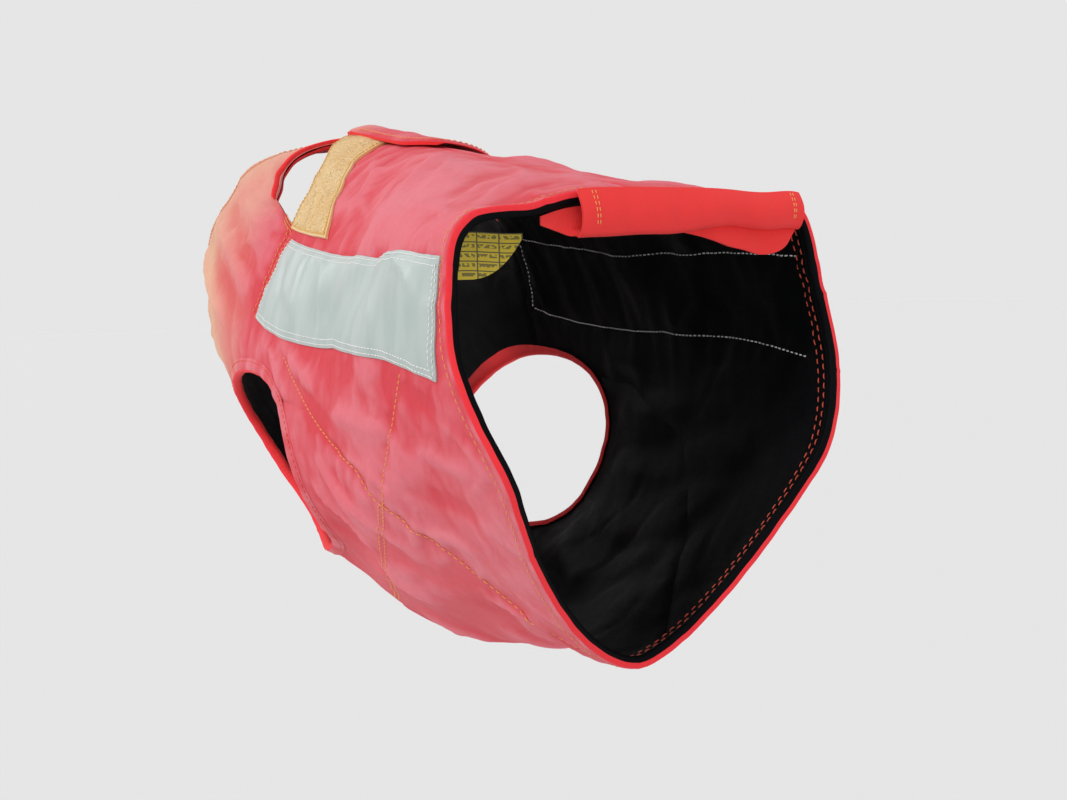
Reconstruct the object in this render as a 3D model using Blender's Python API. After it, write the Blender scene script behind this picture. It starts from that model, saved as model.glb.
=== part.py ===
"""Protective vest for a dog, worn shape, no wearer.

The cloth is one tube with two leg holes, a neck opening, an open hem and a gap on each side of
the withers. Every piece is cut from the same tube: a place on it is (along, girth), where along
is millimetres forward of the hem and girth is the share of the half ring, 0 at the spine, 1 at
the belly line and 2 at the spine again. The left side has girth 0 to 1, the right 1 to 2.
+X is forward, +Y the dog's left, +Z up. The origin is inside the spine, where the back carries it.
"""
import functools
import math

import bpy
import bmesh
import numpy as np
from mathutils import Vector
from mathutils.geometry import delaunay_2d_cdt

MM = 0.001

# Rings of the tube. The last two columns bend the upper and the lower half: 2 is an ellipse,
# 4 is nearly square, 1.4 is close to a V.
#          along  top_x  top_z  low_x  low_z  half_width  widest  upper  lower
RINGS = (
    (-35, -236, -41, -208, -230, 94.0, 0.28, 3.60, 1.56),
    (0, -201, -34, -178, -245, 96.0, 0.30, 3.40, 1.57),
    (60, -142, -23, -125, -248, 98.0, 0.37, 2.70, 1.58),
    (130, -70, -10, -59, -262, 100.0, 0.46, 2.20, 1.76),
    (200, 0, 4, 8, -262, 102.0, 0.52, 2.00, 1.92),
    (265, 65, 16, 76, -244, 101.0, 0.55, 1.80, 2.05),
    (325, 122, 26, 151, -210, 97.0, 0.53, 1.80, 1.95),
    (380, 170, 25, 231, -171, 91.0, 0.49, 2.20, 2.00),
    (430, 206, 19, 281, -122, 81.0, 0.48, 2.30, 2.00),
    (465, 230, 12, 307, -86, 70.0, 0.47, 2.30, 2.00),
)
RING_STEPS = 120            # chords that measure half a ring
HALF_GIRTH = 350.0          # mean half ring, turns a girth share into millimetres
PROBE = 1.5                 # reach of the differences that give the outward direction
JOINT = 0.5                 # flat points nearer than this are one
ARC_STEP = 15               # degrees, on small round corners

# Wall, measured inwards from the outer face.
OUTER_CLOTH = 2.0           # coated cloth with its stab-resistant core
LINING_CLOTH = 2.0          # padded black lining
GAP = 0.3
EDGE_GAP = 0.6              # room between a panel and the binding that wraps its edge
LINING_TOP = -(OUTER_CLOTH + GAP)
LINING_LOW = LINING_TOP - LINING_CLOTH
SEAM_INSET = 0.2            # each piece stops this far short of its seam line
NET = 17.0                  # spacing of the points that carry a panel
EDGE_NET = 12.0             # spacing along a panel's edge
SLIVER = 1.0                # square millimetres, less is a flat triangle on a straight edge

# Edges of the garment, girth then along.
HEM = ((0.0, 0), (0.30, 0), (0.41, -5), (0.47, -12), (0.52, -19), (0.60, -28), (0.66, -26),
       (0.73, -20), (0.81, -14), (0.89, -9), (0.95, -6), (1.0, -5))
NECK = ((0.0, 384), (0.10, 380), (0.20, 388), (0.30, 408), (0.42, 438), (0.60, 454),
        (0.80, 455), (0.90, 453), (1.0, 452))
BACK_FRONT = ((0.0, 344), (0.05, 338), (0.08, 327), (0.137, 301), (0.193, 282), (0.241, 277),
              (0.255, 276))
STRAP_REAR = ((0.0, 352), (0.06, 352), (0.12, 348), (0.165, 342), (0.195, 335), (0.215, 326),
              (0.238, 319))
HEM_BINDING = 4.0
NECK_BINDING = 8.0
LEG_BINDING = 8.0
# Section of a binding that wraps the wall: share of its width, then lift over the wall's outer
# face and over its inner face.
BINDING_OUTSIDE = ((1.0, 0.3), (0.6, 0.8), (0.15, 0.4), (0.0, -1.0))
BINDING_INSIDE = ((0.0, 0.7), (0.15, -0.3), (0.6, -0.6), (1.0, -0.3))
LEG_SPANS = 40
EDGE_SPANS = 56

# Leg hole, an ellipse on the unrolled cloth.
LEG_ALONG = 265.0
LEG_GIRTH = 0.66
LEG_HALF_LENGTH = 76.0
LEG_HALF_HEIGHT = 52.0
LEG_TILT = 30.0             # degrees, its front end lower

# Seams, along then girth, on the left side. The right side mirrors them.
SHOULDER_SEAM = ((276, 0.255), (274, 0.275), (276, 0.346), (283, 0.425))
BELLY_SEAM = ((172, 0.505), (138, 0.545), (112, 0.583), (96, 0.642), (66, 0.733), (40, 0.825),
              (16, 0.900))
BELLY_SEAM_HEM = 0.950
NECK_SEAM_GIRTH = 0.70
SHOULDER_SEAM_TURN = 100.0   # degrees round the leg hole from its front, where seams meet it
BELLY_SEAM_TURN = 155.0
CHEST_SEAM_TURN = -68.0
NECK_SEAM_TURN = 20.0

# Reflective panel, 50 mm tape let out to the hem, along then girth, per side.
REFLECTIVE = ((8, 0.310), (70, 0.298), (130, 0.281), (262, 0.272), (268, 0.35), (276, 0.418),
              (130, 0.412), (9, 0.463))
# Loop strip, 50 mm hook-and-loop tape behind the front edge of the left back.
LOOP_STRIP = ((270, 0.257), (272, 0.238), (277, 0.193), (296, 0.137), (322, 0.080), (332, 0.05),
              (338, 0.004), (272, 0.004), (266, 0.05), (258, 0.108), (227, 0.172), (201, 0.235),
              (194, 0.257))
REFLECTIVE_LIFT = (0.3, 1.1)
LOOP_LIFT = (0.3, 1.6)

# Tongue of the collar strap: it fastens on the loop strip along the spine.
TONGUE_FRONT = 358.0
TONGUE_CORNER = 20.0        # round of its near front corner
TONGUE_REAR = 214.0
TONGUE_GIRTH = (-0.120, 0.040)
TONGUE_CLOTH = 1.8
TONGUE_REST = 2.4           # lift over the cloth, clear of the loop strip
TONGUE_RISE = 1.0           # more lift along its free near edge

# Tail flap, a turned-down casing on the rear edge of the back.
FLAP_GIRTH = (0.118, -0.232)
FLAP_CLOTH = 1.6
FLAP_DROP = (13.0, 21.0)    # at its left and its right end
FLAP_BEHIND = 1.2           # clear of the hem binding
FLAP_CURL = 9.0             # lower edge turned forward
FLAP_BULGE = 4.0
FLAP_STRAIGHT = (0.72, 3.5)  # from this share of its length the stiff end rises off the hem
FLAP_SPANS = 14
FLAP_STEPS = 6              # down its drop, half as many along its curl
FLAP_TOP = (0.8, 1.0)       # its top edge, back of the binding and up
FLAP_FOOT = 2.2             # how far the curl sinks
FLAP_ROOT = -0.5            # lift over the cloth where it starts
FLAP_BULGE_TURN = 0.75      # share of a half wave that its bulge follows

# Size tab inside the left of the hem.
TAB_GIRTH = 0.30
TAB_ALONG = 34.0
TAB_REACH = 36.0
TAB_HEIGHT = 20.0
TAB_CLOTH = 1.0
TAB_CLEAR = 2.4
TAB_BOW = 9.0
TAB_STEPS = 6
TAB_NARROW = 0.25           # share of its height lost at its free end
TAB_TURN = 3.0              # how soon it turns upright, in shares of its reach
TAB_SLANT = 0.4             # its free end turns away from the hem

# Largest folds: side 1 left, -1 right. A soft ridge or trough along a line on the cloth.
FOLD_FADE = 0.06            # share of the girth over which they end at the spine and belly
#        side  along_0 girth_0 along_1 girth_1  half_width  height
FOLDS = (
    (1, 118, 0.235, 172, 0.075, 15, 4.0),
    (1, 78, 0.235, 120, 0.090, 15, 4.0),
    (1, 104, 0.300, 168, 0.400, 17, -4.0),
    (1, 52, 0.290, 84, 0.420, 16, 3.0),
    (1, 274, 0.275, 283, 0.415, 14, -2.0),
    (1, 300, 0.300, 390, 0.220, 20, 3.0),
    (1, 130, 0.640, 60, 0.600, 18, 3.5),
    (1, 200, 0.820, 150, 0.850, 20, -3.0),
    (1, 255, 0.760, 310, 0.780, 22, 6.0),
    (1, 160, 0.710, 226, 0.796, 22, -8.0),
    (1, 205, 0.590, 228, 0.650, 20, 4.5),
    (1, 80, 0.870, 120, 0.885, 18, -3.5),
    (1, 345, 0.160, 400, 0.200, 24, 3.0),
    (1, -35, 0.272, 15, 0.272, 14, 3.2),
    (1, -35, 0.272, 90, 0.268, 17, 2.3),
    (1, -35, 0.180, 36, 0.170, 13, -2.5),
    (-1, -10, 0.500, 30, 0.620, 50, 4.0),
    (-1, -35, 0.235, 10, 0.238, 16, 2.5),
    (-1, -35, 0.235, 70, 0.245, 18, 2.0),
    (-1, -35, 0.340, 50, 0.340, 22, -3.0),
    (-1, 110, 0.250, 160, 0.090, 16, 3.5),
    (-1, 60, 0.130, 92, 0.260, 15, -3.5),
    (-1, 150, 0.300, 110, 0.410, 17, -3.5),
    (-1, 274, 0.275, 283, 0.415, 14, -2.0),
    (-1, 300, 0.290, 385, 0.230, 20, 3.0),
    (-1, 118, 0.620, 56, 0.690, 18, 3.5),
    (-1, 190, 0.790, 140, 0.850, 16, -4.0),
    (-1, 215, 0.740, 300, 0.780, 24, 4.0),
    (-1, 66, 0.800, 30, 0.660, 16, 3.0),
)

PINK = (0.90, 0.16, 0.19, 1.0)
RED = (0.93, 0.035, 0.030, 1.0)
BLACK = (0.010, 0.011, 0.013, 1.0)
SILVER = (0.56, 0.63, 0.60, 1.0)
YELLOW = (0.93, 0.62, 0.24, 1.0)
LABEL = (0.80, 0.68, 0.03, 1.0)


# ---------------------------------------------------------------- the tube

def through(table, place):
    """Smooth curve through the rows of a table whose first column rises."""
    keys = [row[0] for row in table]
    rows = np.array([row[1:] for row in table], dtype=float)
    place = min(max(place, keys[0]), keys[-1])
    last = max(i for i in range(len(keys) - 1) if keys[i] <= place)
    span = keys[last + 1] - keys[last]
    t = (place - keys[last]) / span

    def slope(i):
        low, high = max(i - 1, 0), min(i + 1, len(keys) - 1)
        return (rows[high] - rows[low]) / (keys[high] - keys[low])

    return ((2 * t**3 - 3 * t**2 + 1) * rows[last] + (t**3 - 2 * t**2 + t) * span * slope(last)
            + (3 * t**2 - 2 * t**3) * rows[last + 1] + (t**3 - t**2) * span * slope(last + 1))


@functools.lru_cache(maxsize=None)
def half_ring(along):
    """Points down the left half of the ring at a place, with the length run to each."""
    top_x, top_z, low_x, low_z, width, widest, upper, lower = through(RINGS, along)
    top = np.array((top_x, 0.0, top_z))
    low = np.array((low_x, 0.0, low_z))
    height = np.linalg.norm(top - low)
    upright = (top - low) / height
    middle = top + (low - top) * widest
    points = []
    for step in range(RING_STEPS + 1):
        angle = math.pi * step / RING_STEPS
        across, rise = abs(math.sin(angle)), math.cos(angle)
        reach, power = (height * widest, upper) if rise >= 0 else (height * (1 - widest), lower)
        radius = ((across / width)**power + (abs(rise) / reach)**power)**(-1 / power)
        points.append(middle + upright * rise * radius + np.array((0, across * radius, 0)))
    points = np.array(points)
    runs = np.linalg.norm(np.diff(points, axis=0), axis=1)
    return points, np.concatenate(((0.0,), np.cumsum(runs)))


def smooth_place(along, girth):
    """The tube without folds. Girth repeats every 2 and 1 to 2 is the right side."""
    girth = (girth + 1.0) % 2.0 - 1.0
    points, run = half_ring(round(along, 4))
    length = abs(girth) * run[-1]
    place = np.array([np.interp(length, run, points[:, axis]) for axis in range(3)])
    if girth < 0:
        place[1] = -place[1]
    return place


def fold_height(along, girth):
    girth = (girth + 1.0) % 2.0 - 1.0
    total = 0.0
    for side, along_0, girth_0, along_1, girth_1, half_width, height in FOLDS:
        if side * girth < 0:
            continue
        start = np.array((along_0, girth_0 * HALF_GIRTH))
        line = np.array((along_1, girth_1 * HALF_GIRTH)) - start
        offset = np.array((along, abs(girth) * HALF_GIRTH)) - start
        share = min(max(offset @ line / (line @ line), 0.0), 1.0)
        distance = np.linalg.norm(offset - share * line)
        total += height * math.exp(-(distance / half_width)**2)
    fade = min(1.0, abs(girth) / FOLD_FADE, (1.0 - abs(girth)) / FOLD_FADE)
    return total * fade


def outward(along, girth):
    turn = PROBE / HALF_GIRTH
    forward = smooth_place(along + PROBE, girth) - smooth_place(along - PROBE, girth)
    around = smooth_place(along, girth + turn) - smooth_place(along, girth - turn)
    normal = np.cross(forward, around)
    normal /= np.linalg.norm(normal)
    return normal


@functools.lru_cache(maxsize=None)
def cloth_frame(along, girth):
    """The outer face of the cloth and its outward direction."""
    normal = outward(along, girth)
    return smooth_place(along, girth) + normal * fold_height(along, girth), normal


def on_cloth(along, girth, lift=0.0):
    place, normal = cloth_frame(round(along, 3), round(girth, 6))
    return Vector((place + normal * lift) * MM)


# ---------------------------------------------------------------- outlines on the cloth

def flat(along, girth):
    return np.array((along, girth * HALF_GIRTH))


def spaced(points, spacing=EDGE_NET):
    """The same line with points evenly spaced, ends kept."""
    points = [np.array(p, dtype=float) for p in points]
    lengths = [0.0]
    for a, b in zip(points, points[1:]):
        lengths.append(lengths[-1] + np.linalg.norm(b - a))
    count = max(1, round(lengths[-1] / spacing))
    result = []
    for i in range(count + 1):
        at = lengths[-1] * i / count
        result.append(np.array([np.interp(at, lengths, [p[k] for p in points]) for k in (0, 1)]))
    return result


def smooth_line(rows, steps=6):
    """Flat points on a smooth curve through rows of (along, girth)."""
    table = [(i, *row) for i, row in enumerate(rows)]
    count = steps * (len(rows) - 1)
    return [flat(*through(table, (len(rows) - 1) * i / count)) for i in range(count + 1)]


def edge_line(table, girth_0, girth_1, shift=0.0, steps=24):
    """Flat points on an edge table of (girth, along) between two girths, moved along."""
    line = []
    for i in range(steps + 1):
        girth = girth_0 + (girth_1 - girth_0) * i / steps
        line.append(flat(through(table, 1 - abs(1 - girth))[0] + shift, girth))
    return line


def leg_place(turn, outset=0.0):
    """A flat point round the leg hole, turn in degrees from its front end up and back."""
    angle, tilt = math.radians(turn), math.radians(LEG_TILT)
    run = (LEG_HALF_LENGTH + outset) * math.cos(angle)
    drop = -(LEG_HALF_HEIGHT + outset) * math.sin(angle)
    return flat(LEG_ALONG, LEG_GIRTH) + np.array((run * math.cos(tilt) - drop * math.sin(tilt),
                                                  run * math.sin(tilt) + drop * math.cos(tilt)))


def leg_line(turn_0, turn_1, outset=LEG_BINDING + EDGE_GAP, steps=40):
    return [leg_place(turn_0 + (turn_1 - turn_0) * i / steps, outset) for i in range(steps + 1)]


def mirrored(line):
    """The line on the right side, by the belly: girth becomes 2 - girth."""
    return [np.array((p[0], 2 * HALF_GIRTH - p[1])) for p in reversed(line)]


def closed(*lines):
    """One outline from lines that follow each other, each spaced, joints kept once."""
    outline = []
    for line in lines:
        for point in spaced(line):
            if not outline or np.linalg.norm(point - outline[-1]) > JOINT:
                outline.append(point)
    while np.linalg.norm(outline[0] - outline[-1]) < JOINT:
        outline.pop()
    return outline


def area_of(outline):
    pairs = zip(outline, outline[1:] + outline[:1])
    return sum(a[0] * b[1] - b[0] * a[1] for a, b in pairs) / 2


def inset(outline, amount):
    """The outline moved inwards by the same amount at each side."""
    turn = 1.0 if area_of(outline) > 0 else -1.0
    count = len(outline)
    result = []
    for i in range(count):
        before = outline[i] - outline[i - 1]
        after = outline[(i + 1) % count] - outline[i]
        before, after = before / np.linalg.norm(before), after / np.linalg.norm(after)
        sides = [turn * np.array((-d[1], d[0])) for d in (before, after)]
        middle = sides[0] + sides[1]
        middle /= np.linalg.norm(middle)
        result.append(outline[i] + middle * amount / max(0.5, middle @ sides[0]))
    return result


def inside(point, outline):
    hit = False
    for a, b in zip(outline, outline[1:] + outline[:1]):
        if (a[1] > point[1]) != (b[1] > point[1]):
            if point[0] < a[0] + (point[1] - a[1]) * (b[0] - a[0]) / (b[1] - a[1]):
                hit = not hit
    return hit


def room(point, outline):
    """Distance from a flat point to an outline."""
    best = 1e9
    for a, b in zip(outline, outline[1:] + outline[:1]):
        line = b - a
        share = min(max((point - a) @ line / (line @ line), 0.0), 1.0)
        best = min(best, np.linalg.norm(point - a - share * line))
    return best


def net(outline, marks=()):
    """Triangles over a flat outline. The marks' outlines are kept as edges."""
    outline = inset(outline, SEAM_INSET)
    loops = [outline, *marks]
    points = [p for loop in loops for p in loop]
    edges = []
    start = 0
    for loop in loops:
        edges += [(start + i, start + (i + 1) % len(loop)) for i in range(len(loop))]
        start += len(loop)
    low, high = np.min(outline, axis=0), np.max(outline, axis=0)
    row_height = NET * math.sqrt(3) / 2
    for row in range(int((high[1] - low[1]) / row_height) + 1):
        for column in range(int((high[0] - low[0]) / NET) + 2):
            point = low + np.array(((column + 0.5 * (row % 2)) * NET, (row + 0.5) * row_height))
            if inside(point, outline) and all(room(point, loop) > NET * 0.5 for loop in loops):
                points.append(point)
    result = delaunay_2d_cdt([Vector(p) for p in points], edges, [], 0, 1e-6)
    places = [np.array(p) for p in result[0]]
    faces = [f for f in result[2] if inside(sum(places[i] for i in f) / 3, outline)
             and abs(area_of([places[i] for i in f])) > SLIVER]
    return places, faces


# ---------------------------------------------------------------- solids

def material(name, colour, roughness):
    made = bpy.data.materials.new(name)
    made.use_nodes = True
    shader = made.node_tree.nodes["Principled BSDF"]
    shader.inputs["Base Color"].default_value = colour
    shader.inputs["Roughness"].default_value = roughness
    made.diffuse_color = colour
    return made


def finished(name, mesh_data, colour, roughness=0.85):
    """An object from points and faces, its faces turned outwards."""
    points, faces = mesh_data
    mesh = bpy.data.meshes.new(name)
    mesh.from_pydata(points, [], faces)
    shape = bmesh.new()
    shape.from_mesh(mesh)
    loose = [v for v in shape.verts if not v.link_faces]
    bmesh.ops.delete(shape, geom=loose, context="VERTS")
    bmesh.ops.recalc_face_normals(shape, faces=shape.faces)
    bmesh.ops.triangulate(shape, faces=shape.faces)
    shape.to_mesh(mesh)
    shape.free()
    mesh.shade_smooth()
    mesh.set_sharp_from_angle(angle=math.radians(50))
    mesh.materials.append(material(name, colour, roughness))
    made = bpy.data.objects.new(name, mesh)
    bpy.context.collection.objects.link(made)
    return made


def wall(points, faces, low, high, placed=on_cloth):
    """A closed wall on flat triangles, between two lifts over the cloth."""
    count = len(points)
    solid = [placed(p[0], p[1] / HALF_GIRTH, high) for p in points]
    solid += [placed(p[0], p[1] / HALF_GIRTH, low) for p in points]
    sides = {}
    for face in faces:
        for a, b in zip(face, (*face[1:], face[0])):
            if (b, a) in sides:
                del sides[b, a]
            else:
                sides[a, b] = True
    quads = [(b, a, a + count, b + count) for a, b in sides]
    turned = [tuple(i + count for i in reversed(face)) for face in faces]
    return solid, [tuple(face) for face in faces] + turned + quads


def loop_tube(line, profile):
    """A closed strip: a profile of (across, lift) carried round a closed line of flat points
    that each come with the direction that across is measured in."""
    points = []
    for place, direction in line:
        for across, lift in profile:
            spot = place + direction * across
            points.append(on_cloth(spot[0], spot[1] / HALF_GIRTH, lift))
    size, count = len(profile), len(line)
    faces = []
    for i in range(count):
        for j in range(size):
            a, b = i * size + j, i * size + (j + 1) % size
            c, d = ((i + 1) % count) * size + (j + 1) % size, ((i + 1) % count) * size + j
            faces.append((a, b, c, d))
    return points, faces


def binding_profile(width):
    """Turned edge that wraps the whole wall, its free edge round."""
    return ([(share * width, lift) for share, lift in BINDING_OUTSIDE]
            + [(share * width, LINING_LOW + lift) for share, lift in BINDING_INSIDE])


# ---------------------------------------------------------------- cut pieces

def back_outline():
    leg_top = leg_place(SHOULDER_SEAM_TURN, LEG_BINDING + EDGE_GAP)
    leg_rear = leg_place(BELLY_SEAM_TURN, LEG_BINDING + EDGE_GAP)
    hem_shift = HEM_BINDING + EDGE_GAP
    hem_end = edge_line(HEM, BELLY_SEAM_HEM, BELLY_SEAM_HEM, hem_shift, 1)[0]
    return closed(
        [flat(HEM[0][1] + hem_shift, 0), flat(BACK_FRONT[0][1], 0)],
        edge_line(BACK_FRONT, 0, BACK_FRONT[-1][0]),
        smooth_line(SHOULDER_SEAM) + [leg_top],
        leg_line(SHOULDER_SEAM_TURN, BELLY_SEAM_TURN),
        [leg_rear] + smooth_line(BELLY_SEAM) + [hem_end],
        edge_line(HEM, BELLY_SEAM_HEM, 0, hem_shift))


def belly_outline():
    leg_rear = leg_place(BELLY_SEAM_TURN, LEG_BINDING + EDGE_GAP)
    hem_shift = HEM_BINDING + EDGE_GAP
    hem_end = edge_line(HEM, BELLY_SEAM_HEM, BELLY_SEAM_HEM, hem_shift, 1)[0]
    leg = leg_line(BELLY_SEAM_TURN, 360 + CHEST_SEAM_TURN)
    seam = [hem_end] + smooth_line(BELLY_SEAM)[::-1] + [leg_rear]
    return closed(seam, leg, [leg[-1], mirrored([leg[-1]])[0]], mirrored(leg), mirrored(seam),
                  edge_line(HEM, 2 - BELLY_SEAM_HEM, 1, hem_shift),
                  edge_line(HEM, 1, BELLY_SEAM_HEM, hem_shift))


def chest_outline():
    leg = leg_line(CHEST_SEAM_TURN, NECK_SEAM_TURN)
    neck_shift = -(NECK_BINDING + EDGE_GAP)
    neck_end = edge_line(NECK, NECK_SEAM_GIRTH, NECK_SEAM_GIRTH, neck_shift, 1)[0]
    return closed(leg, [leg[-1], neck_end],
                  edge_line(NECK, NECK_SEAM_GIRTH, 1, neck_shift),
                  edge_line(NECK, 1, 2 - NECK_SEAM_GIRTH, neck_shift),
                  [mirrored([neck_end])[0], mirrored([leg[-1]])[0]], mirrored(leg),
                  [mirrored([leg[0]])[0], leg[0]])


def shoulder_outline():
    neck_shift = -(NECK_BINDING + EDGE_GAP)
    neck_end = edge_line(NECK, NECK_SEAM_GIRTH, NECK_SEAM_GIRTH, neck_shift, 1)[0]
    leg = leg_line(SHOULDER_SEAM_TURN, NECK_SEAM_TURN)
    strap = edge_line(STRAP_REAR, 0, STRAP_REAR[-1][0])
    return closed(smooth_line(SHOULDER_SEAM) + [leg[0]], leg, [leg[-1], neck_end],
                  edge_line(NECK, NECK_SEAM_GIRTH, 0, neck_shift), strap,
                  [strap[-1], flat(*SHOULDER_SEAM[0])])


def on_side(outline, side):
    """An outline of the left side, or the same on the right."""
    return outline if side > 0 else [np.array((p[0], -p[1])) for p in reversed(outline)]


def cut_pair(name, outline, marks, colour):
    """An outer panel with its lining, both on one net, and the overlays on its marks."""
    rounds = [spaced_loop(mark[2]) for mark in marks]
    points, faces = net(outline, rounds)
    finished(name, wall(points, faces, -OUTER_CLOTH, 0.0), colour)
    finished("lining_" + name, wall(points, faces, LINING_LOW, LINING_TOP), BLACK)
    for (mark_name, look, _, lift), loop in zip(marks, rounds):
        over = [f for f in faces if inside(sum(points[i] for i in f) / 3, loop)]
        finished(mark_name, wall(points, over, *lift), look, 0.6)


def spaced_loop(rows):
    corners = [flat(*row) if not isinstance(row, np.ndarray) else row for row in rows]
    loop = []
    for a, b in zip(corners, corners[1:] + corners[:1]):
        loop += spaced([a, b])[:-1]
    return loop


def make_cloth():
    for side, word in ((1, "left"), (-1, "right")):
        tape = on_side([flat(*row) for row in REFLECTIVE], side)
        marks = [("reflective_" + word, SILVER, tape, REFLECTIVE_LIFT)]
        if side > 0:
            marks.append(("loop_strip", YELLOW, [flat(*row) for row in LOOP_STRIP], LOOP_LIFT))
        cut_pair("back_" + word, on_side(back_outline(), side), marks, PINK)
        cut_pair("shoulder_" + word, on_side(shoulder_outline(), side), [], PINK)
    cut_pair("belly", belly_outline(), [], PINK)
    cut_pair("chest", chest_outline(), [], PINK)


def make_bindings():
    for side, word in ((1, "left"), (-1, "right")):
        line = []
        for i in range(LEG_SPANS):
            turn = 360 * i / LEG_SPANS
            place, outer = leg_place(turn), leg_place(turn, 1.0)
            direction = outer - place
            place, direction = place * (1, side), direction * (1, side)
            line.append((place, direction / np.linalg.norm(direction)))
        finished("leg_binding_" + word, loop_tube(line, binding_profile(LEG_BINDING)), RED)
    for name, table, forward, width in (("hem_binding", HEM, 1, HEM_BINDING),
                                        ("neck_binding", NECK, -1, NECK_BINDING)):
        line = []
        for i in range(EDGE_SPANS):
            girth = 2.0 * i / EDGE_SPANS
            along = through(table, min(girth, 2 - girth))[0]
            line.append((flat(along, girth), np.array((forward, 0.0))))
        finished(name, loop_tube(line, binding_profile(width)), RED)


def make_tongue():
    """Tongue over the spine, round at its rear end, free and lifted along its left edge."""
    middle = HALF_GIRTH * sum(TONGUE_GIRTH) / 2
    half = HALF_GIRTH * (TONGUE_GIRTH[1] - TONGUE_GIRTH[0]) / 2
    rear = [np.array((TONGUE_REAR + half * (1 - math.sin(math.radians(t))),
                      middle - half * math.cos(math.radians(t))))
            for t in range(0, 181, ARC_STEP)]
    start = np.array((TONGUE_FRONT, middle - half))
    centre = np.array((TONGUE_FRONT - TONGUE_CORNER, middle + half - TONGUE_CORNER))
    corner = [centre + TONGUE_CORNER * np.array((math.sin(math.radians(t)),
                                                 math.cos(math.radians(t))))
              for t in range(0, 91, ARC_STEP)]
    outline = closed([start, rear[0]], rear, [rear[-1], corner[0]], corner, [corner[-1], start])
    points, faces = net(outline)

    def lifted(along, girth, lift):
        free = (girth - TONGUE_GIRTH[0]) / (TONGUE_GIRTH[1] - TONGUE_GIRTH[0])
        middle_run = (along - TONGUE_REAR) / (TONGUE_FRONT - TONGUE_REAR)
        rise = TONGUE_RISE * max(0.0, free)**2 * math.sin(math.pi * min(1, max(0, middle_run)))
        return on_cloth(along, girth, lift + rise)

    finished("collar_tongue", wall(points, faces, TONGUE_REST, TONGUE_REST + TONGUE_CLOTH,
                                   lifted), PINK)


def flap_profile(drop):
    """Middle line of the flap's cloth, from its top: back and down in millimetres."""
    line = []
    for step in range(FLAP_STEPS + 1):
        share = step / FLAP_STEPS
        bulge = FLAP_BULGE * math.sin(math.pi * FLAP_BULGE_TURN * share)
        line.append((FLAP_BEHIND + FLAP_TOP[0] + bulge, drop * share - FLAP_TOP[1]))
    foot_back, foot_down = line[-1]
    curl_steps = FLAP_STEPS // 2
    for step in range(1, curl_steps + 1):
        line.append((foot_back - FLAP_CURL * step / curl_steps,
                     foot_down + FLAP_FOOT * math.sin(step)))
    return line


def make_tail_flap():
    """Flap turned down from the rear edge of the back, its foot turned forward."""
    sections = []
    start, rise = FLAP_STRAIGHT
    for i in range(FLAP_SPANS + 1):
        share = i / FLAP_SPANS
        girth = FLAP_GIRTH[0] + (FLAP_GIRTH[1] - FLAP_GIRTH[0]) * share
        drop = FLAP_DROP[0] + (FLAP_DROP[1] - FLAP_DROP[0]) * share
        edge = on_cloth(through(HEM, abs(girth))[0], girth, FLAP_ROOT) / MM
        edge.z += rise * max(0.0, (share - start) / (1.0 - start))**2
        line = flap_profile(drop)
        ring = []
        for half in (FLAP_CLOTH / 2, -FLAP_CLOTH / 2):
            places = []
            for j, (back, down) in enumerate(line):
                low, high = max(j - 1, 0), min(j + 1, len(line) - 1)
                run = Vector((line[high][0] - line[low][0], line[high][1] - line[low][1]))
                run.normalize()
                places.append((back - run.y * half, down + run.x * half))
            ring += places if half > 0 else places[::-1]
        sections.append([Vector((edge.x - back, edge.y, edge.z - down)) * MM
                         for back, down in ring])
    size = len(sections[0])
    points = [p for section in sections for p in section]
    faces = []
    for i in range(FLAP_SPANS):
        for j in range(size):
            a, b = i * size + j, i * size + (j + 1) % size
            faces.append((a, b, b + size, a + size))
    half_size = size // 2
    for first in (0, FLAP_SPANS * size):
        for j in range(half_size - 1):
            faces.append((first + j, first + j + 1, first + size - 2 - j, first + size - 1 - j))
    finished("tail_flap", (points, faces), RED)


def make_size_tab():
    """Label that stands in from the lining near the hem and bows back at its free end."""
    half_girth = TAB_HEIGHT / 2 / HALF_GIRTH
    ends = [on_cloth(TAB_ALONG, TAB_GIRTH + turn, LINING_LOW - TAB_CLEAR) / MM
            for turn in (-half_girth, half_girth)]
    root = (ends[0] + ends[1]) / 2
    along_wall = (ends[0] - ends[1]).normalized()
    sections = []
    for i in range(TAB_STEPS + 1):
        share = i / TAB_STEPS
        middle = root + Vector((-TAB_BOW * share**2, -TAB_REACH * share, 0.0))
        up = along_wall.lerp(Vector((0, 0, 1)), min(1.0, share * TAB_TURN)).normalized()
        up = up * TAB_HEIGHT / 2 * (1 - TAB_NARROW * share**4)
        across = Vector((1.0, -TAB_SLANT * share, 0.0)).normalized() * TAB_CLOTH / 2
        sections.append([middle + across + up, middle - across + up,
                         middle - across - up, middle + across - up])
    points = [p * MM for section in sections for p in section]
    faces = [(0, 1, 2, 3), tuple(4 * TAB_STEPS + j for j in (3, 2, 1, 0))]
    for i in range(TAB_STEPS):
        for j in range(4):
            a, b = 4 * i + j, 4 * i + (j + 1) % 4
            faces.append((a, b, b + 4, a + 4))
    finished("size_tab", (points, faces), LABEL, 0.5)


def main():
    for old in list(bpy.data.objects):
        bpy.data.objects.remove(old, do_unlink=True)
    make_cloth()
    make_bindings()
    make_tongue()
    make_tail_flap()
    make_size_tab()


main()
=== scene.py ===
"""Looks of the dog protective vest.

The cloth is one tube, as in the solids. A place on it is flat: millimetres forward of the hem, and
millimetres round from the spine. Round the left side comes the belly line, then the right side.
"""
import functools
import math

import bpy
import numpy as np
from mathutils import Matrix, Vector
from mathutils.geometry import delaunay_2d_cdt


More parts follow.
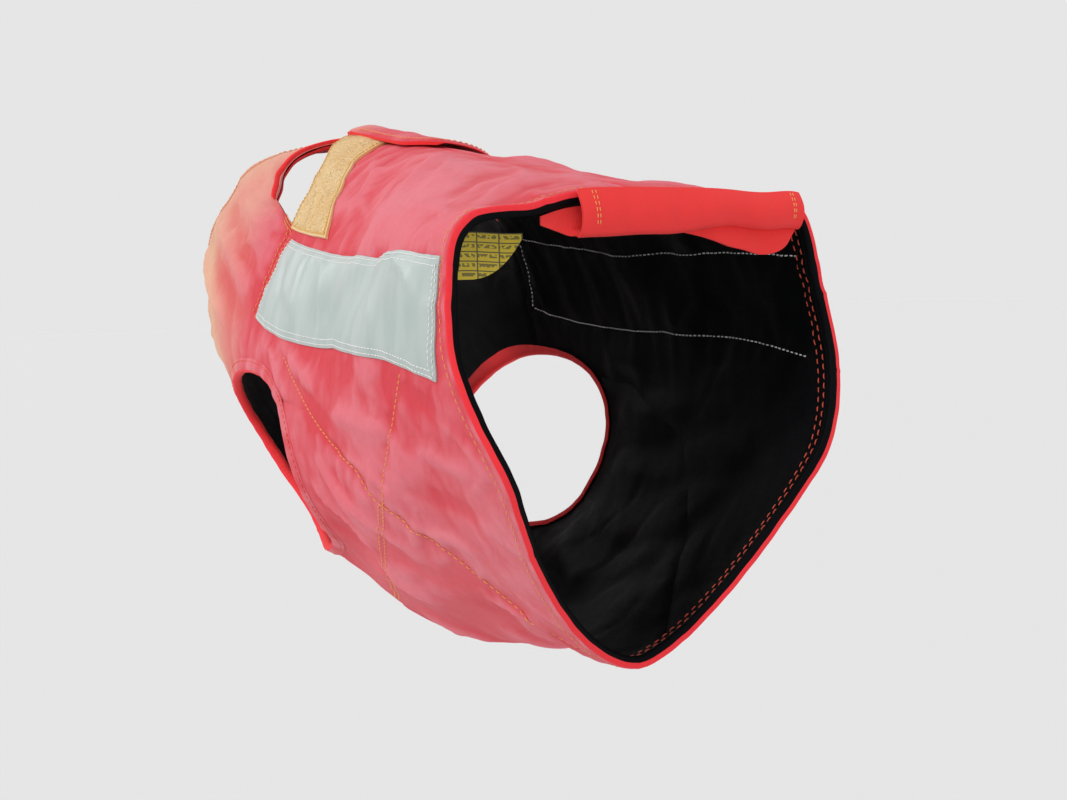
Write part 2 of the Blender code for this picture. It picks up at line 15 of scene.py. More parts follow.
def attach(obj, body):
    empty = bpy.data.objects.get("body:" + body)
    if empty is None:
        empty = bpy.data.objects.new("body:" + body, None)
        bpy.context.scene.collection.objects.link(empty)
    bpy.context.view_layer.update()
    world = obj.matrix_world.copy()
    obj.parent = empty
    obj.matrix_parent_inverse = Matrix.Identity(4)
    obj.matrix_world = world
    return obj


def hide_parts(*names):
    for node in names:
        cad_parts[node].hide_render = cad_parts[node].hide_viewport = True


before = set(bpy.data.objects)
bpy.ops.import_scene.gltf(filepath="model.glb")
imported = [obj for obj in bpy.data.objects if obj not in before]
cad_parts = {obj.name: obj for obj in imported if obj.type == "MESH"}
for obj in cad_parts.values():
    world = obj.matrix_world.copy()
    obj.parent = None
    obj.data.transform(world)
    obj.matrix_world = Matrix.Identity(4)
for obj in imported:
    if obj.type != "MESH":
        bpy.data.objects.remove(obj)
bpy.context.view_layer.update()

bl_info = {
    "name": "Dog Protective Vest",
    "version": (1, 0, 0),
    "blender": (4, 5, 0),
    "location": "View3D > Sidebar > Vest",
    "description": "Cloth, tapes, bindings and sewing of a dog's protective vest",
    "category": "Object",
}

MM = 0.001

# Rings of the tube. The last two columns bend the upper and the lower half: 2 is an ellipse,
# 4 is nearly square, 1.4 is close to a V.
#          along  top_x  top_z  low_x  low_z  half_width  widest  upper  lower
RINGS = (
    (-35, -236, -41, -208, -230, 94.0, 0.28, 3.60, 1.56),
    (0, -201, -34, -178, -245, 96.0, 0.30, 3.40, 1.57),
    (60, -142, -23, -125, -248, 98.0, 0.37, 2.70, 1.58),
    (130, -70, -10, -59, -262, 100.0, 0.46, 2.20, 1.76),
    (200, 0, 4, 8, -262, 102.0, 0.52, 2.00, 1.92),
    (265, 65, 16, 76, -244, 101.0, 0.55, 1.80, 2.05),
    (325, 122, 26, 151, -210, 97.0, 0.53, 1.80, 1.95),
    (380, 170, 25, 231, -171, 91.0, 0.49, 2.20, 2.00),
    (430, 206, 19, 281, -122, 81.0, 0.48, 2.30, 2.00),
    (465, 230, 12, 307, -86, 70.0, 0.47, 2.30, 2.00),
)
RING_STEPS = 120
GRID_ALONG = 2.5
GRID_SHARES = 240
HALF_GIRTH = 350.0          # mean half ring, turns a girth share into millimetres
CURVE_STEPS = 8             # from one row of a smooth line to the next
OUTLINE_SPACING = 4.0
NEAR_REACH = 30.0           # how far off a line distances are measured

# Wall, measured inwards from the outer face.
OUTER_CLOTH = 2.0
LINING_CLOTH = 2.0
GAP = 0.3
LINING_TOP = -(OUTER_CLOTH + GAP)
LINING_LOW = LINING_TOP - LINING_CLOTH
DEEPEST = 1.75              # that a seam takes the outer face down
LINING_ROOM = 1.65          # that its inner face may move towards the outer cloth
SEAM_LAP = 0.9              # how far a panel runs on under its seam
EDGE_SLOPE = 0.9            # of that part, down from the seam
OUTER_EDGE = (0.75, 2.2)    # depth and width of the outer cloth's sunk edge
LINING_EDGE = (0.7, 4.0)
TAPE_EDGE = (0.35, 1.5)
TAPE_ROOT = 0.2             # how far a tape's underside lies below its lift

# Edges of the garment, girth then along.
HEM = ((0.0, 0), (0.30, 0), (0.41, -5), (0.47, -12), (0.52, -19), (0.60, -28), (0.66, -26),
       (0.73, -20), (0.81, -14), (0.89, -9), (0.95, -6), (1.0, -5))
NECK = ((0.0, 384), (0.10, 380), (0.20, 388), (0.30, 408), (0.42, 438), (0.60, 454),
        (0.80, 455), (0.90, 453), (1.0, 452))
BACK_FRONT = ((0.0, 344), (0.05, 338), (0.08, 327), (0.137, 301), (0.193, 282), (0.241, 277),
              (0.255, 276))
STRAP_REAR = ((0.0, 352), (0.06, 352), (0.12, 348), (0.165, 342), (0.195, 335), (0.215, 326),
              (0.238, 319))
HEM_BINDING = 4.0
NECK_BINDING = 8.0
LEG_BINDING = 8.0
UNDER_BINDING = 2.0         # a panel runs on under its binding to this far from the edge

# The leg hole, an ellipse on the cloth. Places round it are turns in degrees, see leg_place.
LEG_ALONG = 265.0
LEG_GIRTH = 0.66
LEG_HALF_LENGTH = 76.0
LEG_HALF_HEIGHT = 52.0
LEG_TILT = 30.0

# Seams, along then girth, on the left side. The right side mirrors them.
SHOULDER_SEAM = ((276, 0.255), (274, 0.275), (276, 0.346), (283, 0.425))
BELLY_SEAM = ((172, 0.505), (138, 0.545), (112, 0.583), (96, 0.642), (66, 0.733), (40, 0.825),
              (16, 0.900))
BELLY_SEAM_HEM = 0.950
NECK_SEAM_GIRTH = 0.70
SHOULDER_SEAM_TURN = 100.0
BELLY_SEAM_TURN = 155.0
CHEST_SEAM_TURN = -68.0
NECK_SEAM_TURN = 20.0

# Outlines of the tapes, along then girth, and the lifts of their underside and their face.
REFLECTIVE = ((8, 0.310), (70, 0.298), (130, 0.281), (262, 0.272), (268, 0.35), (276, 0.418),
              (130, 0.412), (9, 0.463))
LOOP_STRIP = ((270, 0.257), (272, 0.238), (277, 0.193), (296, 0.137), (322, 0.080), (332, 0.05),
              (338, 0.004), (272, 0.004), (266, 0.05), (258, 0.108), (227, 0.172), (201, 0.235),
              (194, 0.257))
REFLECTIVE_LIFT = (0.3, 1.1)
LOOP_LIFT = (0.3, 1.6)
LOOP_FOLLOWS = 0.6          # share of the cloth's creases that the stiffer loop tape takes on

# Largest folds, as in the solids: side 1 left, -1 right.
#        side  along_0 girth_0 along_1 girth_1  half_width  height
FOLDS = (
    (1, 118, 0.235, 172, 0.075, 15, 4.0),
    (1, 78, 0.235, 120, 0.090, 15, 4.0),
    (1, 104, 0.300, 168, 0.400, 17, -4.0),
    (1, 52, 0.290, 84, 0.420, 16, 3.0),
    (1, 274, 0.275, 283, 0.415, 14, -2.0),
    (1, 300, 0.300, 390, 0.220, 20, 3.0),
    (1, 130, 0.640, 60, 0.600, 18, 3.5),
    (1, 200, 0.820, 150, 0.850, 20, -3.0),
    (1, 255, 0.760, 310, 0.780, 22, 6.0),
    (1, 160, 0.710, 226, 0.796, 22, -8.0),
    (1, 205, 0.590, 228, 0.650, 20, 4.5),
    (1, 80, 0.870, 120, 0.885, 18, -3.5),
    (1, 345, 0.160, 400, 0.200, 24, 3.0),
    (1, -35, 0.272, 15, 0.272, 14, 3.2),
    (1, -35, 0.272, 90, 0.268, 17, 2.3),
    (1, -35, 0.180, 36, 0.170, 13, -2.5),
    (-1, -10, 0.500, 30, 0.620, 50, 4.0),
    (-1, -35, 0.235, 10, 0.238, 16, 2.5),
    (-1, -35, 0.235, 70, 0.245, 18, 2.0),
    (-1, -35, 0.340, 50, 0.340, 22, -3.0),
    (-1, 110, 0.250, 160, 0.090, 16, 3.5),
    (-1, 60, 0.130, 92, 0.260, 15, -3.5),
    (-1, 150, 0.300, 110, 0.410, 17, -3.5),
    (-1, 274, 0.275, 283, 0.415, 14, -2.0),
    (-1, 300, 0.290, 385, 0.230, 20, 3.0),
    (-1, 118, 0.620, 56, 0.690, 18, 3.5),
    (-1, 190, 0.790, 140, 0.850, 16, -4.0),
    (-1, 215, 0.740, 300, 0.780, 24, 4.0),
    (-1, 66, 0.800, 30, 0.660, 16, 3.0),
)

FOLD_FADE = 0.06            # girth share beside the spine and the belly line where folds fade

# Finer creases of the outer cloth. Girth is negative on the right side.
#    along_0 girth_0 along_1 girth_1 half_width height
CREASES = (
    (44, 0.215, 76, 0.380, 15, -0.75),
    (92, 0.215, 150, 0.370, 15, 1.45),
    (286, 0.262, 322, 0.290, 4, 1.9),
    (284, 0.280, 316, 0.318, 4, -1.3),
    (302, 0.250, 332, 0.266, 4, 1.5),
    (290, 0.300, 336, 0.340, 5, 1.9),
    (296, 0.350, 350, 0.372, 5, -1.2),
    (150, 0.040, 100, 0.170, 6, 1.5),
    (176, 0.060, 132, 0.210, 5, -1.3),
    (206, 0.110, 176, 0.225, 6, 1.3),
    (60, 0.050, 36, 0.210, 6, 1.4),
    (40, 0.080, 20, 0.230, 5, -1.2),
    (96, 0.060, 64, 0.200, 5, -1.2),
    (236, 0.150, 214, 0.240, 5, -1.0),
    (18, 0.020, 10, 0.120, 6, 1.0),
    (250, 0.300, 222, 0.400, 5, -1.1),
    (212, 0.290, 196, 0.400, 5, 1.0),
    (178, 0.285, 150, 0.395, 6, 1.2),
    (92, 0.310, 108, 0.400, 5, -1.2),
    (40, 0.320, 22, 0.450, 6, 1.0),
    (232, 0.440, 196, 0.500, 5, 1.2),
    (206, 0.430, 150, 0.470, 6, 1.3),
    (150, 0.440, 92, 0.450, 6, -1.2),
    (186, 0.470, 128, 0.520, 5, -1.1),
    (128, 0.500, 70, 0.540, 7, 1.3),
    (74, 0.470, 12, 0.500, 6, -1.0),
    (160, 0.560, 124, 0.660, 6, 1.6),
    (144, 0.580, 98, 0.680, 5, -1.3),
    (176, 0.610, 132, 0.720, 6, 1.4),
    (186, 0.680, 142, 0.780, 5, -1.3),
    (150, 0.720, 108, 0.830, 6, 1.5),
    (120, 0.700, 80, 0.800, 5, -1.2),
    (92, 0.680, 30, 0.720, 6, 1.4),
    (70, 0.620, 4, 0.650, 6, -1.1),
    (44, 0.560, -8, 0.590, 6, 1.1),
    (84, 0.760, 20, 0.830, 6, -1.3),
    (64, 0.820, 18, 0.870, 5, 1.2),
    (160, 0.860, 120, 0.960, 7, 1.6),
    (130, 0.900, 96, 1.040, 6, -1.4),
    (90, 0.900, 60, 1.060, 7, 1.3),
    (46, 0.930, 26, 1.080, 6, -1.2),
    (196, 0.900, 206, 1.080, 7, 1.5),
    (222, 0.920, 228, 1.080, 6, -1.2),
    (288, 0.300, 352, 0.268, 6, 1.9),
    (294, 0.352, 374, 0.300, 7, -1.8),
    (296, 0.400, 388, 0.345, 7, 2.3),
    (312, 0.446, 406, 0.400, 7, -1.9),
    (328, 0.500, 424, 0.450, 7, 2.2),
    (350, 0.550, 436, 0.520, 7, -1.7),
    (366, 0.640, 440, 0.630, 7, 1.5),
    (300, 0.260, 336, 0.225, 5, -1.5),
    (316, 0.245, 352, 0.180, 5, 1.3),
    (346, 0.230, 372, 0.200, 5, -1.1),
    (372, 0.760, 440, 0.780, 7, -1.4),
    (340, 0.880, 430, 0.900, 8, 1.6),
    (300, 0.940, 420, 1.000, 8, -1.4),
    (166, -0.040, 118, -0.180, 6, 1.5),
    (132, -0.060, 92, -0.200, 5, -1.3),
    (222, -0.090, 190, -0.220, 6, 1.3),
    (250, -0.140, 226, -0.240, 5, -1.1),
    (44, -0.060, 24, -0.230, 6, 1.2),
    (240, -0.300, 210, -0.400, 5, -1.1),
    (190, -0.290, 160, -0.390, 6, 1.3),
    (80, -0.310, 96, -0.410, 5, -1.2),
    (36, -0.320, 20, -0.440, 6, 1.1),
    (222, -0.440, 170, -0.480, 6, 1.3),
    (160, -0.450, 100, -0.460, 6, -1.2),
    (140, -0.500, 76, -0.530, 6, 1.3),
    (90, -0.560, 30, -0.570, 6, -1.1),
    (170, -0.580, 130, -0.680, 6, 1.6),
    (182, -0.660, 140, -0.770, 5, -1.4),
    (148, -0.710, 100, -0.810, 6, 1.5),
    (100, -0.660, 40, -0.700, 6, -1.2),
    (76, -0.760, 16, -0.820, 6, 1.3),
    (60, -0.840, 16, -0.880, 5, -1.1),
    (180, -0.860, 150, -0.970, 7, 1.5),
    (296, -0.320, 356, -0.270, 6, 1.6),
    (304, -0.380, 380, -0.330, 6, -1.4),
    (320, -0.440, 400, -0.400, 7, 1.7),
    (340, -0.510, 424, -0.480, 6, -1.5),
    (360, -0.580, 436, -0.560, 7, 1.6),
    (304, -0.260, 344, -0.210, 5, -1.4),
    (372, -0.680, 440, -0.680, 7, -1.3),
    (370, -0.790, 440, -0.800, 8, 1.5),
)

# Creases of the padded lining, seen from inside, so a ridge is negative here.
LINING_CREASES = (
    (262, -0.290, 256, -0.430, 7, -1.8),
    (244, -0.280, 240, -0.430, 6, 1.5),
    (226, -0.280, 224, -0.420, 6, -1.7),
    (208, -0.285, 204, -0.420, 5, 1.3),
    (190, -0.280, 190, -0.410, 6, -1.5),
    (170, -0.285, 172, -0.410, 6, 1.4),
    (150, -0.290, 148, -0.420, 7, -1.4),
    (122, -0.290, 130, -0.420, 7, 1.3),
    (96, -0.300, 92, -0.420, 8, -1.3),
    (60, -0.310, 64, -0.430, 8, 1.2),
    (30, -0.320, 28, -0.440, 7, -1.2),
    (226, -0.070, 214, -0.260, 8, -1.4),
    (176, -0.060, 168, -0.250, 8, 1.2),
    (120, -0.050, 128, -0.260, 9, -1.3),
    (64, -0.060, 70, -0.270, 9, 1.1),
    (200, -0.460, 150, -0.470, 9, -2.2),
    (190, -0.500, 120, -0.500, 8, 1.8),
    (184, -0.550, 100, -0.540, 10, -2.3),
    (150, -0.600, 40, -0.570, 9, 1.8),
    (176, -0.640, 110, -0.650, 10, -2.2),
    (130, -0.680, 30, -0.640, 9, 1.6),
    (184, -0.720, 120, -0.760, 10, -2.2),
    (130, -0.780, 50, -0.760, 9, 1.7),
    (190, -0.800, 130, -0.860, 9, -2.0),
    (110, -0.850, 40, -0.840, 9, 1.5),
    (90, -0.500, 20, -0.490, 8, -1.3),
    (70, -0.900, 20, -0.920, 8, -1.2),
    (60, 0.360, 20, 0.420, 8, 1.4),
    (120, 0.340, 90, 0.460, 9, -1.6),
    (180, 0.330, 150, 0.440, 8, 1.5),
    (190, 0.500, 130, 0.520, 9, -2.0),
    (170, 0.600, 90, 0.610, 9, 1.8),
    (180, 0.700, 110, 0.720, 10, -2.0),
    (110, 0.780, 40, 0.760, 9, 1.6),
    (150, 0.880, 80, 0.900, 9, -1.8),
    (180, 0.970, 60, 1.030, 12, 1.6),
    (330, -0.340, 410, -0.330, 8, -1.6),
    (340, -0.450, 420, -0.440, 8, 1.5),
    (370, -0.600, 440, -0.590, 8, -1.5),
    (360, 0.420, 420, 0.400, 8, -1.5),
    (370, 0.560, 440, 0.560, 8, 1.5),
    (350, 0.900, 430, 0.930, 9, -1.6),
    (300, 1.000, 430, 1.040, 9, 1.5),
)

CREASE_WIDTH = 0.8          # of a row's half width, where a crease has faded to about a third
CREASE_POWER = 1.5
CREASE_GAIN = 1.8           # height of the outer cloth's creases over their rows
OUTER_RANGE = (-1.35, 3.8)  # lowest and highest detail of the outer cloth
LINING_RANGE = (-3.5, 1.4)
OUTER_WORN = (3, 1.25)      # seed and height of the thin ridges of worn cloth
LINING_WORN = (8, 0.8)
WORN_WAVES = (45, 110)      # shortest and longest of the waves that place the ridges
WORN_SHARPNESS = 0.27
PATCH_WAVES = (90, 180)     # of those that fade them in patches
FINE_WAVES = (11, 26)
FINE_HEIGHT = 0.12
CALM_LEAST = 0.3            # share of the creasing left at the hem, the neck and the leg holes
CALM_REACH = 15.0           # how far from them it is whole again

# How deep each seam pulls the cloth in, and what it does to the cloth beside it: height as a
# share of its depth, how far off, and width.
SEAM_DEPTHS = {"flank": 0.9, "diagonal": 1.1, "shoulder": 1.1, "leg": 0.8, "tape": 0.7,
               "neck": 0.9, "loop": 0.5, "chest": 0.9}
LINING_SEAM_DEPTHS = {"tape": -1.0, "leg": -0.7}
LINING_SEAM_WIDTH = 4.0
SEAM_SPACING = 8.0
SEAM_RIPPLE = (0.26, 5.0, 6.0)
SEAM_PUCKER = (1.25, 4.0, 15.0)

# Rows of topstitching on the outer cloth, along then girth, mirrored to the right side.
FLANK_ROW = ((46, 0.458), (60, 0.517), (76, 0.575), (96, 0.642), (124, 0.717), (152, 0.790),
             (176, 0.845), (195, 0.874))
FLANK_SECOND = ((99, 0.638), (127, 0.713), (155, 0.786), (179, 0.841), (198, 0.870))
DIAGONAL_ROW = ((207, 0.440), (172, 0.490), (138, 0.542), (112, 0.583), (96, 0.642),
                (66, 0.733), (40, 0.825), (16, 0.908), (2, 0.945))

# Path of a binding round the wall's edge, share of its width then lift. Its part on the inside
# is measured from the lining's face.
WRAP_OUTSIDE = ((1.0, 0.45), (0.8, 0.6), (0.5, 0.7), (0.2, 0.6), (0.04, -0.1), (0.0, -1.9),
                (0.0, -3.2))
WRAP_INSIDE = ((0.04, 0.1), (0.2, -0.65), (0.5, -0.8), (0.8, -0.75), (1.0, -0.6))
WRAP_FACES = (3, 5)         # where its folded edge begins, and where its inside does
WRAP_CLOTH = 0.6
NARROW_CLOTH = 0.45         # of a binding narrower than the next size
NARROW = 6.0
WRAP_TURN = 6.5             # of its cut that goes round the wall
LEG_STEPS = 220
EDGE_STEPS = 340
# Width of the leg binding's inside, as a share: least, then how much more, at which turn, spread.
LEG_INSIDE = (0.5, 0.6, 60, 45)
RIPPLES = ((0.18, 1 / 4.1, 0.0), (0.14, 1 / 2.3, 1.0), (0.10, 1 / 9.7, 0.0))

# The facing over the strap's rear edge, across then lift, in the same two parts.
FACING_WIDTH = 11.0
FACING_TURN = 6.0
FACING_CLOTH = 0.5
FACING_OUTSIDE = ((1.6, 1.0), (0.5, 1.0), (-0.5, 0.4), (-0.8, -1.2), (-0.8, -3.2))
FACING_INSIDE = ((-0.3, -0.3), (1.0, -0.9), (6.0, -1.0), (FACING_WIDTH, -0.9))

TONGUE_FRONT = 358.0        # of the curve that it is raised on
TONGUE_END = 351.0
TONGUE_CORNER = 22.0        # round of its near front corner
TONGUE_SKIRT = 0.9          # its red edge hangs down to this lift along its near side
TONGUE_EDGE = (0.55, 2.0)
TONGUE_CREASES = ((332, 0.004, 316, 0.010, 13, 1.7), (312, 0.040, 300, -0.010, 6, -1.2),
                  (296, -0.080, 262, 0.010, 6, 0.8), (270, -0.090, 240, 0.000, 6, -0.6))
TONGUE_REAR = 214.0
TONGUE_GIRTH = (-0.120, 0.040)
TONGUE_CLOTH = 1.8
TONGUE_REST = 2.4
TONGUE_RISE = 1.0

FLAP_GIRTH = (0.118, -0.232)
FLAP_LENGTH = (FLAP_GIRTH[0] - FLAP_GIRTH[1]) * HALF_GIRTH
FLAP_CLOTH = 1.6
# How far the flap hangs, share of its length then millimetres: the layer in front and the one
# behind it, which starts further left.
FLAP_FRONT = ((0.0, 17.0), (0.35, 17.0), (0.55, 14.5), (0.7, 12.8), (0.85, 13.2), (1.0, 14.0))
FLAP_UNDER = ((-0.13, 8.5), (-0.06, 14.0), (0.0, 17.0), (0.3, 15.0), (0.45, 16.0),
              (0.6, 20.0), (0.75, 23.5), (0.88, 25.0), (0.95, 22.5), (1.0, 15.0))
FLAP_BEHIND = 2.1           # from the hem's face back to its middle
FLAP_CURL = 6.75            # how far its foot turns forward
FLAP_BULGE = 4.0
FLAP_HEAD = 1.4             # how far its head stands above the hem
FLAP_RISE = 3.0             # how far its foot rises again as it turns forward
FLAP_ROUND = (2.6, 2.5)     # how far the turn is rounded down first, and how soon
FLAP_STRAIGHT = (0.72, 3.5)     # share from which its upper edge rises to the right, and how far
FLAP_TURN = 0.72            # share of the front layer's fall where its foot turns forward
FLAP_TURN_SPAN = 0.39
FLAP_SPANS = 110
FLAP_STEPS = 22
FLAP_CELL = (1.25, 1.1)     # of its net on the cloth
FLAP_CUT = 24.0
# The layer behind: start, cloth, steps down, cut, length over the front's, how deep its head is.
UNDER_START = -0.13
UNDER_CLOTH = 1.0
UNDER_STEPS = 12
UNDER_CUT = 15.0
UNDER_LENGTH = 1.13
UNDER_HEAD = 5.2
UNDER_LEAST = 3.0           # of its fall
UNDER_AHEAD = 3.0           # of the hem's face
UNDER_BACK = (2.4, 0.4, 0.3)    # how far its foot moves back: from which share, over how much
# Waves of the two layers, rows of height, rate and phase.
FRONT_FOOT_WAVES = ((0.35, 17, 0),)
FRONT_WAVES = ((0.45, 23, 1), (0.25, 57, 0))
UNDER_FOOT_WAVES = ((0.3, 31, 0),)
UNDER_WAVES = ((0.8, 19, 2), (0.5, 43, 0))

TAB_GIRTH = 0.30
TAB_ALONG = 34.0
TAB_REACH = 36.0
TAB_HEIGHT = 20.0
TAB_CLOTH = 0.8
TAB_CLEAR = 2.4             # of the lining
TAB_BOW = 9.0               # how far its free end bends to the tail
TAB_STEPS = 26
TAB_ROWS = 8
TAB_ROUND = (0.35, 2.4, 1.8)    # where its lower corner starts to round, power, height
TAB_SHOWN = 0.85                # of its height, on average

NAP_SEED = 11
NAP_INSET = 1.2             # of the nap from the loop tape's edge
NAP_LEAN = 0.55
NAP_HEIGHT = (0.5, 1.15)
NAP_THICK = 0.11

# A stitch over its length and its thickness: where it bends down, how thin its ends get, how far
# they dip.
STITCH_BEND = 0.3
STITCH_THIN = 0.55
STITCH_DIP = 0.75

# The camera, fitted to the photograph: where it stands and looks, in the vest's frame.
CAMERA_AT = Vector((-0.6432, 0.2938, -0.0700))
CAMERA_FORWARD = Vector((0.8800, -0.4653, -0.0951))
CAMERA_RIGHT = Vector((-0.4697, -0.8823, -0.0289))
CAMERA_LENS = 42.14
CAMERA_SENSOR = 36.0

# Lights, in metres, degrees and watts per square metre.
#     name    from                 spread power
LAMPS = (
    ("key", (-0.3, 1.6, 1.25), 12.0, 0.95),
    ("fill", (-1.6, 0.2, -0.1), 30.0, 0.35),
    ("rim", (1.5, 0.9, 0.9), 14.0, 0.30),
)
WORLD_STRENGTH = 0.79
FLOOR_SIZE = 90.0
FLOOR_LEVEL = -1.4


# ---------------------------------------------------------------- the tube

def unit(vectors):
    """The same directions at length 1."""
    return vectors / np.linalg.norm(vectors, axis=-1, keepdims=True)


def run_of(points):
    """Length run to each point of a line."""
    return np.concatenate(((0.0,), np.cumsum(np.linalg.norm(np.diff(points, axis=0), axis=1))))


def waves(at, table):
    """Sum of sine waves, rows of height, rate and phase."""
    return sum(height * np.sin(at * rate + phase) for height, rate, phase in table)


def through(table, place):
    """Smooth curve through the rows of a table whose first column rises."""
    keys = [row[0] for row in table]
    rows = np.array([row[1:] for row in table], dtype=float)
    place = min(max(place, keys[0]), keys[-1])
    last = max(i for i in range(len(keys) - 1) if keys[i] <= place)
    span = keys[last + 1] - keys[last]
    t = (place - keys[last]) / span

    def slope(i):
        low, high = max(i - 1, 0), min(i + 1, len(keys) - 1)
        return (rows[high] - rows[low]) / (keys[high] - keys[low])

    return ((2 * t**3 - 3 * t**2 + 1) * rows[last] + (t**3 - 2 * t**2 + t) * span * slope(last)
            + (3 * t**2 - 2 * t**3) * rows[last + 1] + (t**3 - t**2) * span * slope(last + 1))


def half_ring(along):
    """Points down the left half of the ring at a place, with the length run to each."""
    top_x, top_z, low_x, low_z, width, widest, upper, lower = through(RINGS, along)
    top = np.array((top_x, 0.0, top_z))
    low = np.array((low_x, 0.0, low_z))
    height = np.linalg.norm(top - low)
    upright = (top - low) / height
    middle = top + (low - top) * widest
    angle = math.pi * np.arange(RING_STEPS + 1) / RING_STEPS
    across, rise = np.abs(np.sin(angle)), np.cos(angle)
    reach = np.where(rise >= 0, height * widest, height * (1 - widest))
    power = np.where(rise >= 0, upper, lower)
    radius = ((across / width)**power + (np.abs(rise) / reach)**power)**(-1 / power)
    points = middle + np.outer(rise * radius, upright)
    points[:, 1] += across * radius
    return points, run_of(points)


@functools.lru_cache(maxsize=None)
def tube_grid():
    """The left half of the tube on an even grid of along and girth share."""
    alongs = np.arange(RINGS[0][0] - 5.0, RINGS[-1][0] + 5.0, GRID_ALONG)
    shares = np.linspace(0.0, 1.0, GRID_SHARES + 1)
    grid = np.zeros((len(alongs), len(shares), 3))
    for i, along in enumerate(alongs):
        points, run = half_ring(along)
        for axis in range(3):
            grid[i, :, axis] = np.interp(shares * run[-1], run, points[:, axis])
    return alongs[0], grid


def wrapped(girth):
    """A girth share from -1 to 1, negative on the right side."""
    return (girth + 1.0) % 2.0 - 1.0


def tube(places):
    """Positions of flat places on the tube without folds, in millimetres."""
    start, grid = tube_grid()
    girth = wrapped(places[:, 1] / HALF_GIRTH)
    row = np.clip((places[:, 0] - start) / GRID_ALONG, 0, grid.shape[0] - 1.001)
    column = np.clip(np.abs(girth) * GRID_SHARES, 0, GRID_SHARES - 0.001)
    i, j = row.astype(int), column.astype(int)
    s, t = (row - i)[:, None], (column - j)[:, None]
    spots = ((1 - s) * ((1 - t) * grid[i, j] + t * grid[i, j + 1])
             + s * ((1 - t) * grid[i + 1, j] + t * grid[i + 1, j + 1]))
    spots[:, 1] = np.where(girth < 0, -spots[:, 1], spots[:, 1])
    return spots


def outward(places):
    """Normals of the tube at flat places."""
    step = 3.0
    forward = tube(places + (step, 0)) - tube(places - (step, 0))
    around = tube(places + (0, step)) - tube(places - (0, step))
    return unit(np.cross(forward, around))


def lifted(places, height):
    """Positions a height off the tube, and the normals there."""
    normal = outward(places)
    return tube(places) + normal * height[:, None], normal


def folds(places):
    """Height of the large folds, the same as in the solids."""
    girth = wrapped(places[:, 1] / HALF_GIRTH)
    total = np.zeros(len(places))
    spots = np.stack((places[:, 0], np.abs(girth) * HALF_GIRTH), axis=1)
    for side, along_0, girth_0, along_1, girth_1, half_width, height in FOLDS:
        start = np.array((along_0, girth_0 * HALF_GIRTH))
        line = np.array((along_1, girth_1 * HALF_GIRTH)) - start
        share = np.clip((spots - start) @ line / (line @ line), 0, 1)
        distance = np.linalg.norm(spots - start - share[:, None] * line, axis=1)
        total += np.where(side * girth >= 0, height * np.exp(-(distance / half_width)**2), 0)
    return total * np.clip(np.minimum(np.abs(girth), 1 - np.abs(girth)) / FOLD_FADE, 0, 1)


def creased(places, table):
    """Height of finer creases, each fading to nothing at both of its ends."""
    total = np.zeros(len(places))
    for along_0, girth_0, along_1, girth_1, half_width, height in table:
        offset = np.stack((places[:, 0] - along_0,
                           wrapped(places[:, 1] / HALF_GIRTH - girth_0) * HALF_GIRTH), axis=1)
        line = np.array((along_1 - along_0, (girth_1 - girth_0) * HALF_GIRTH))
        share = offset @ line / (line @ line)
        held = np.clip(share, 0, 1)
        distance = np.linalg.norm(offset - held[:, None] * line, axis=1)
        fade = 1 - (2 * held - 1)**4
        total += height * fade * np.exp(-(distance / (CREASE_WIDTH * half_width))**CREASE_POWER)
    return total


# ---------------------------------------------------------------- outlines on the cloth

def flat(along, girth):
    """A flat place in millimetres from an along and a girth share."""
    return np.array((along, girth * HALF_GIRTH), dtype=float)


def evenly(points, spacing):
    """The same line with points evenly spaced, ends kept."""
    points = np.array(points, dtype=float)
    lengths = run_of(points)
    count = max(1, round(lengths[-1] / spacing))
    at = np.linspace(0, lengths[-1], count + 1)
    return np.stack([np.interp(at, lengths, points[:, axis]) for axis in (0, 1)], axis=1)


def smooth_line(rows):
    """Flat points on a smooth curve through rows of (along, girth)."""
    table = [(i, *row) for i, row in enumerate(rows)]
    count = CURVE_STEPS * (len(rows) - 1)
    return [flat(*through(table, (len(rows) - 1) * i / count)) for i in range(count + 1)]


def edge_point(table, girth, shift=0.0):
    """The flat point of an edge table of (girth, along) at a girth, moved along by a shift."""
    return flat(through(table, 1 - abs(1 - girth))[0] + shift, girth)


def edge_line(table, girth_0, girth_1, shift=0.0, steps=48):
    """Flat points on an edge table between two girths."""
    return [edge_point(table, girth_0 + (girth_1 - girth_0) * i / steps, shift)
            for i in range(steps + 1)]


def leg_place(turn, outset=0.0):
    """A flat point round the leg hole, turn in degrees from its front end up and back."""
    angle, tilt = math.radians(turn), math.radians(LEG_TILT)
    run = (LEG_HALF_LENGTH + outset) * math.cos(angle)
    drop = -(LEG_HALF_HEIGHT + outset) * math.sin(angle)
    return flat(LEG_ALONG, LEG_GIRTH) + np.array((run * math.cos(tilt) - drop * math.sin(tilt),
                                                  run * math.sin(tilt) + drop * math.cos(tilt)))


def leg_line(turn_0, turn_1, outset=UNDER_BINDING, steps=80):
    return [leg_place(turn_0 + (turn_1 - turn_0) * i / steps, outset) for i in range(steps + 1)]


def leg_seam():
    """Where the leg binding is sewn down."""
    return [leg_place(turn, LEG_BINDING + 0.5) for turn in range(0, 361, 6)]


def mirrored(line):
    """The line on the right side, by the belly."""
    return [np.array((p[0], 2 * HALF_GIRTH - p[1])) for p in reversed(list(line))]


def on_side(outline, side):
    """An outline of the left side, or the same on the right."""
    return outline if side > 0 else [np.array((p[0], -p[1])) for p in reversed(outline)]


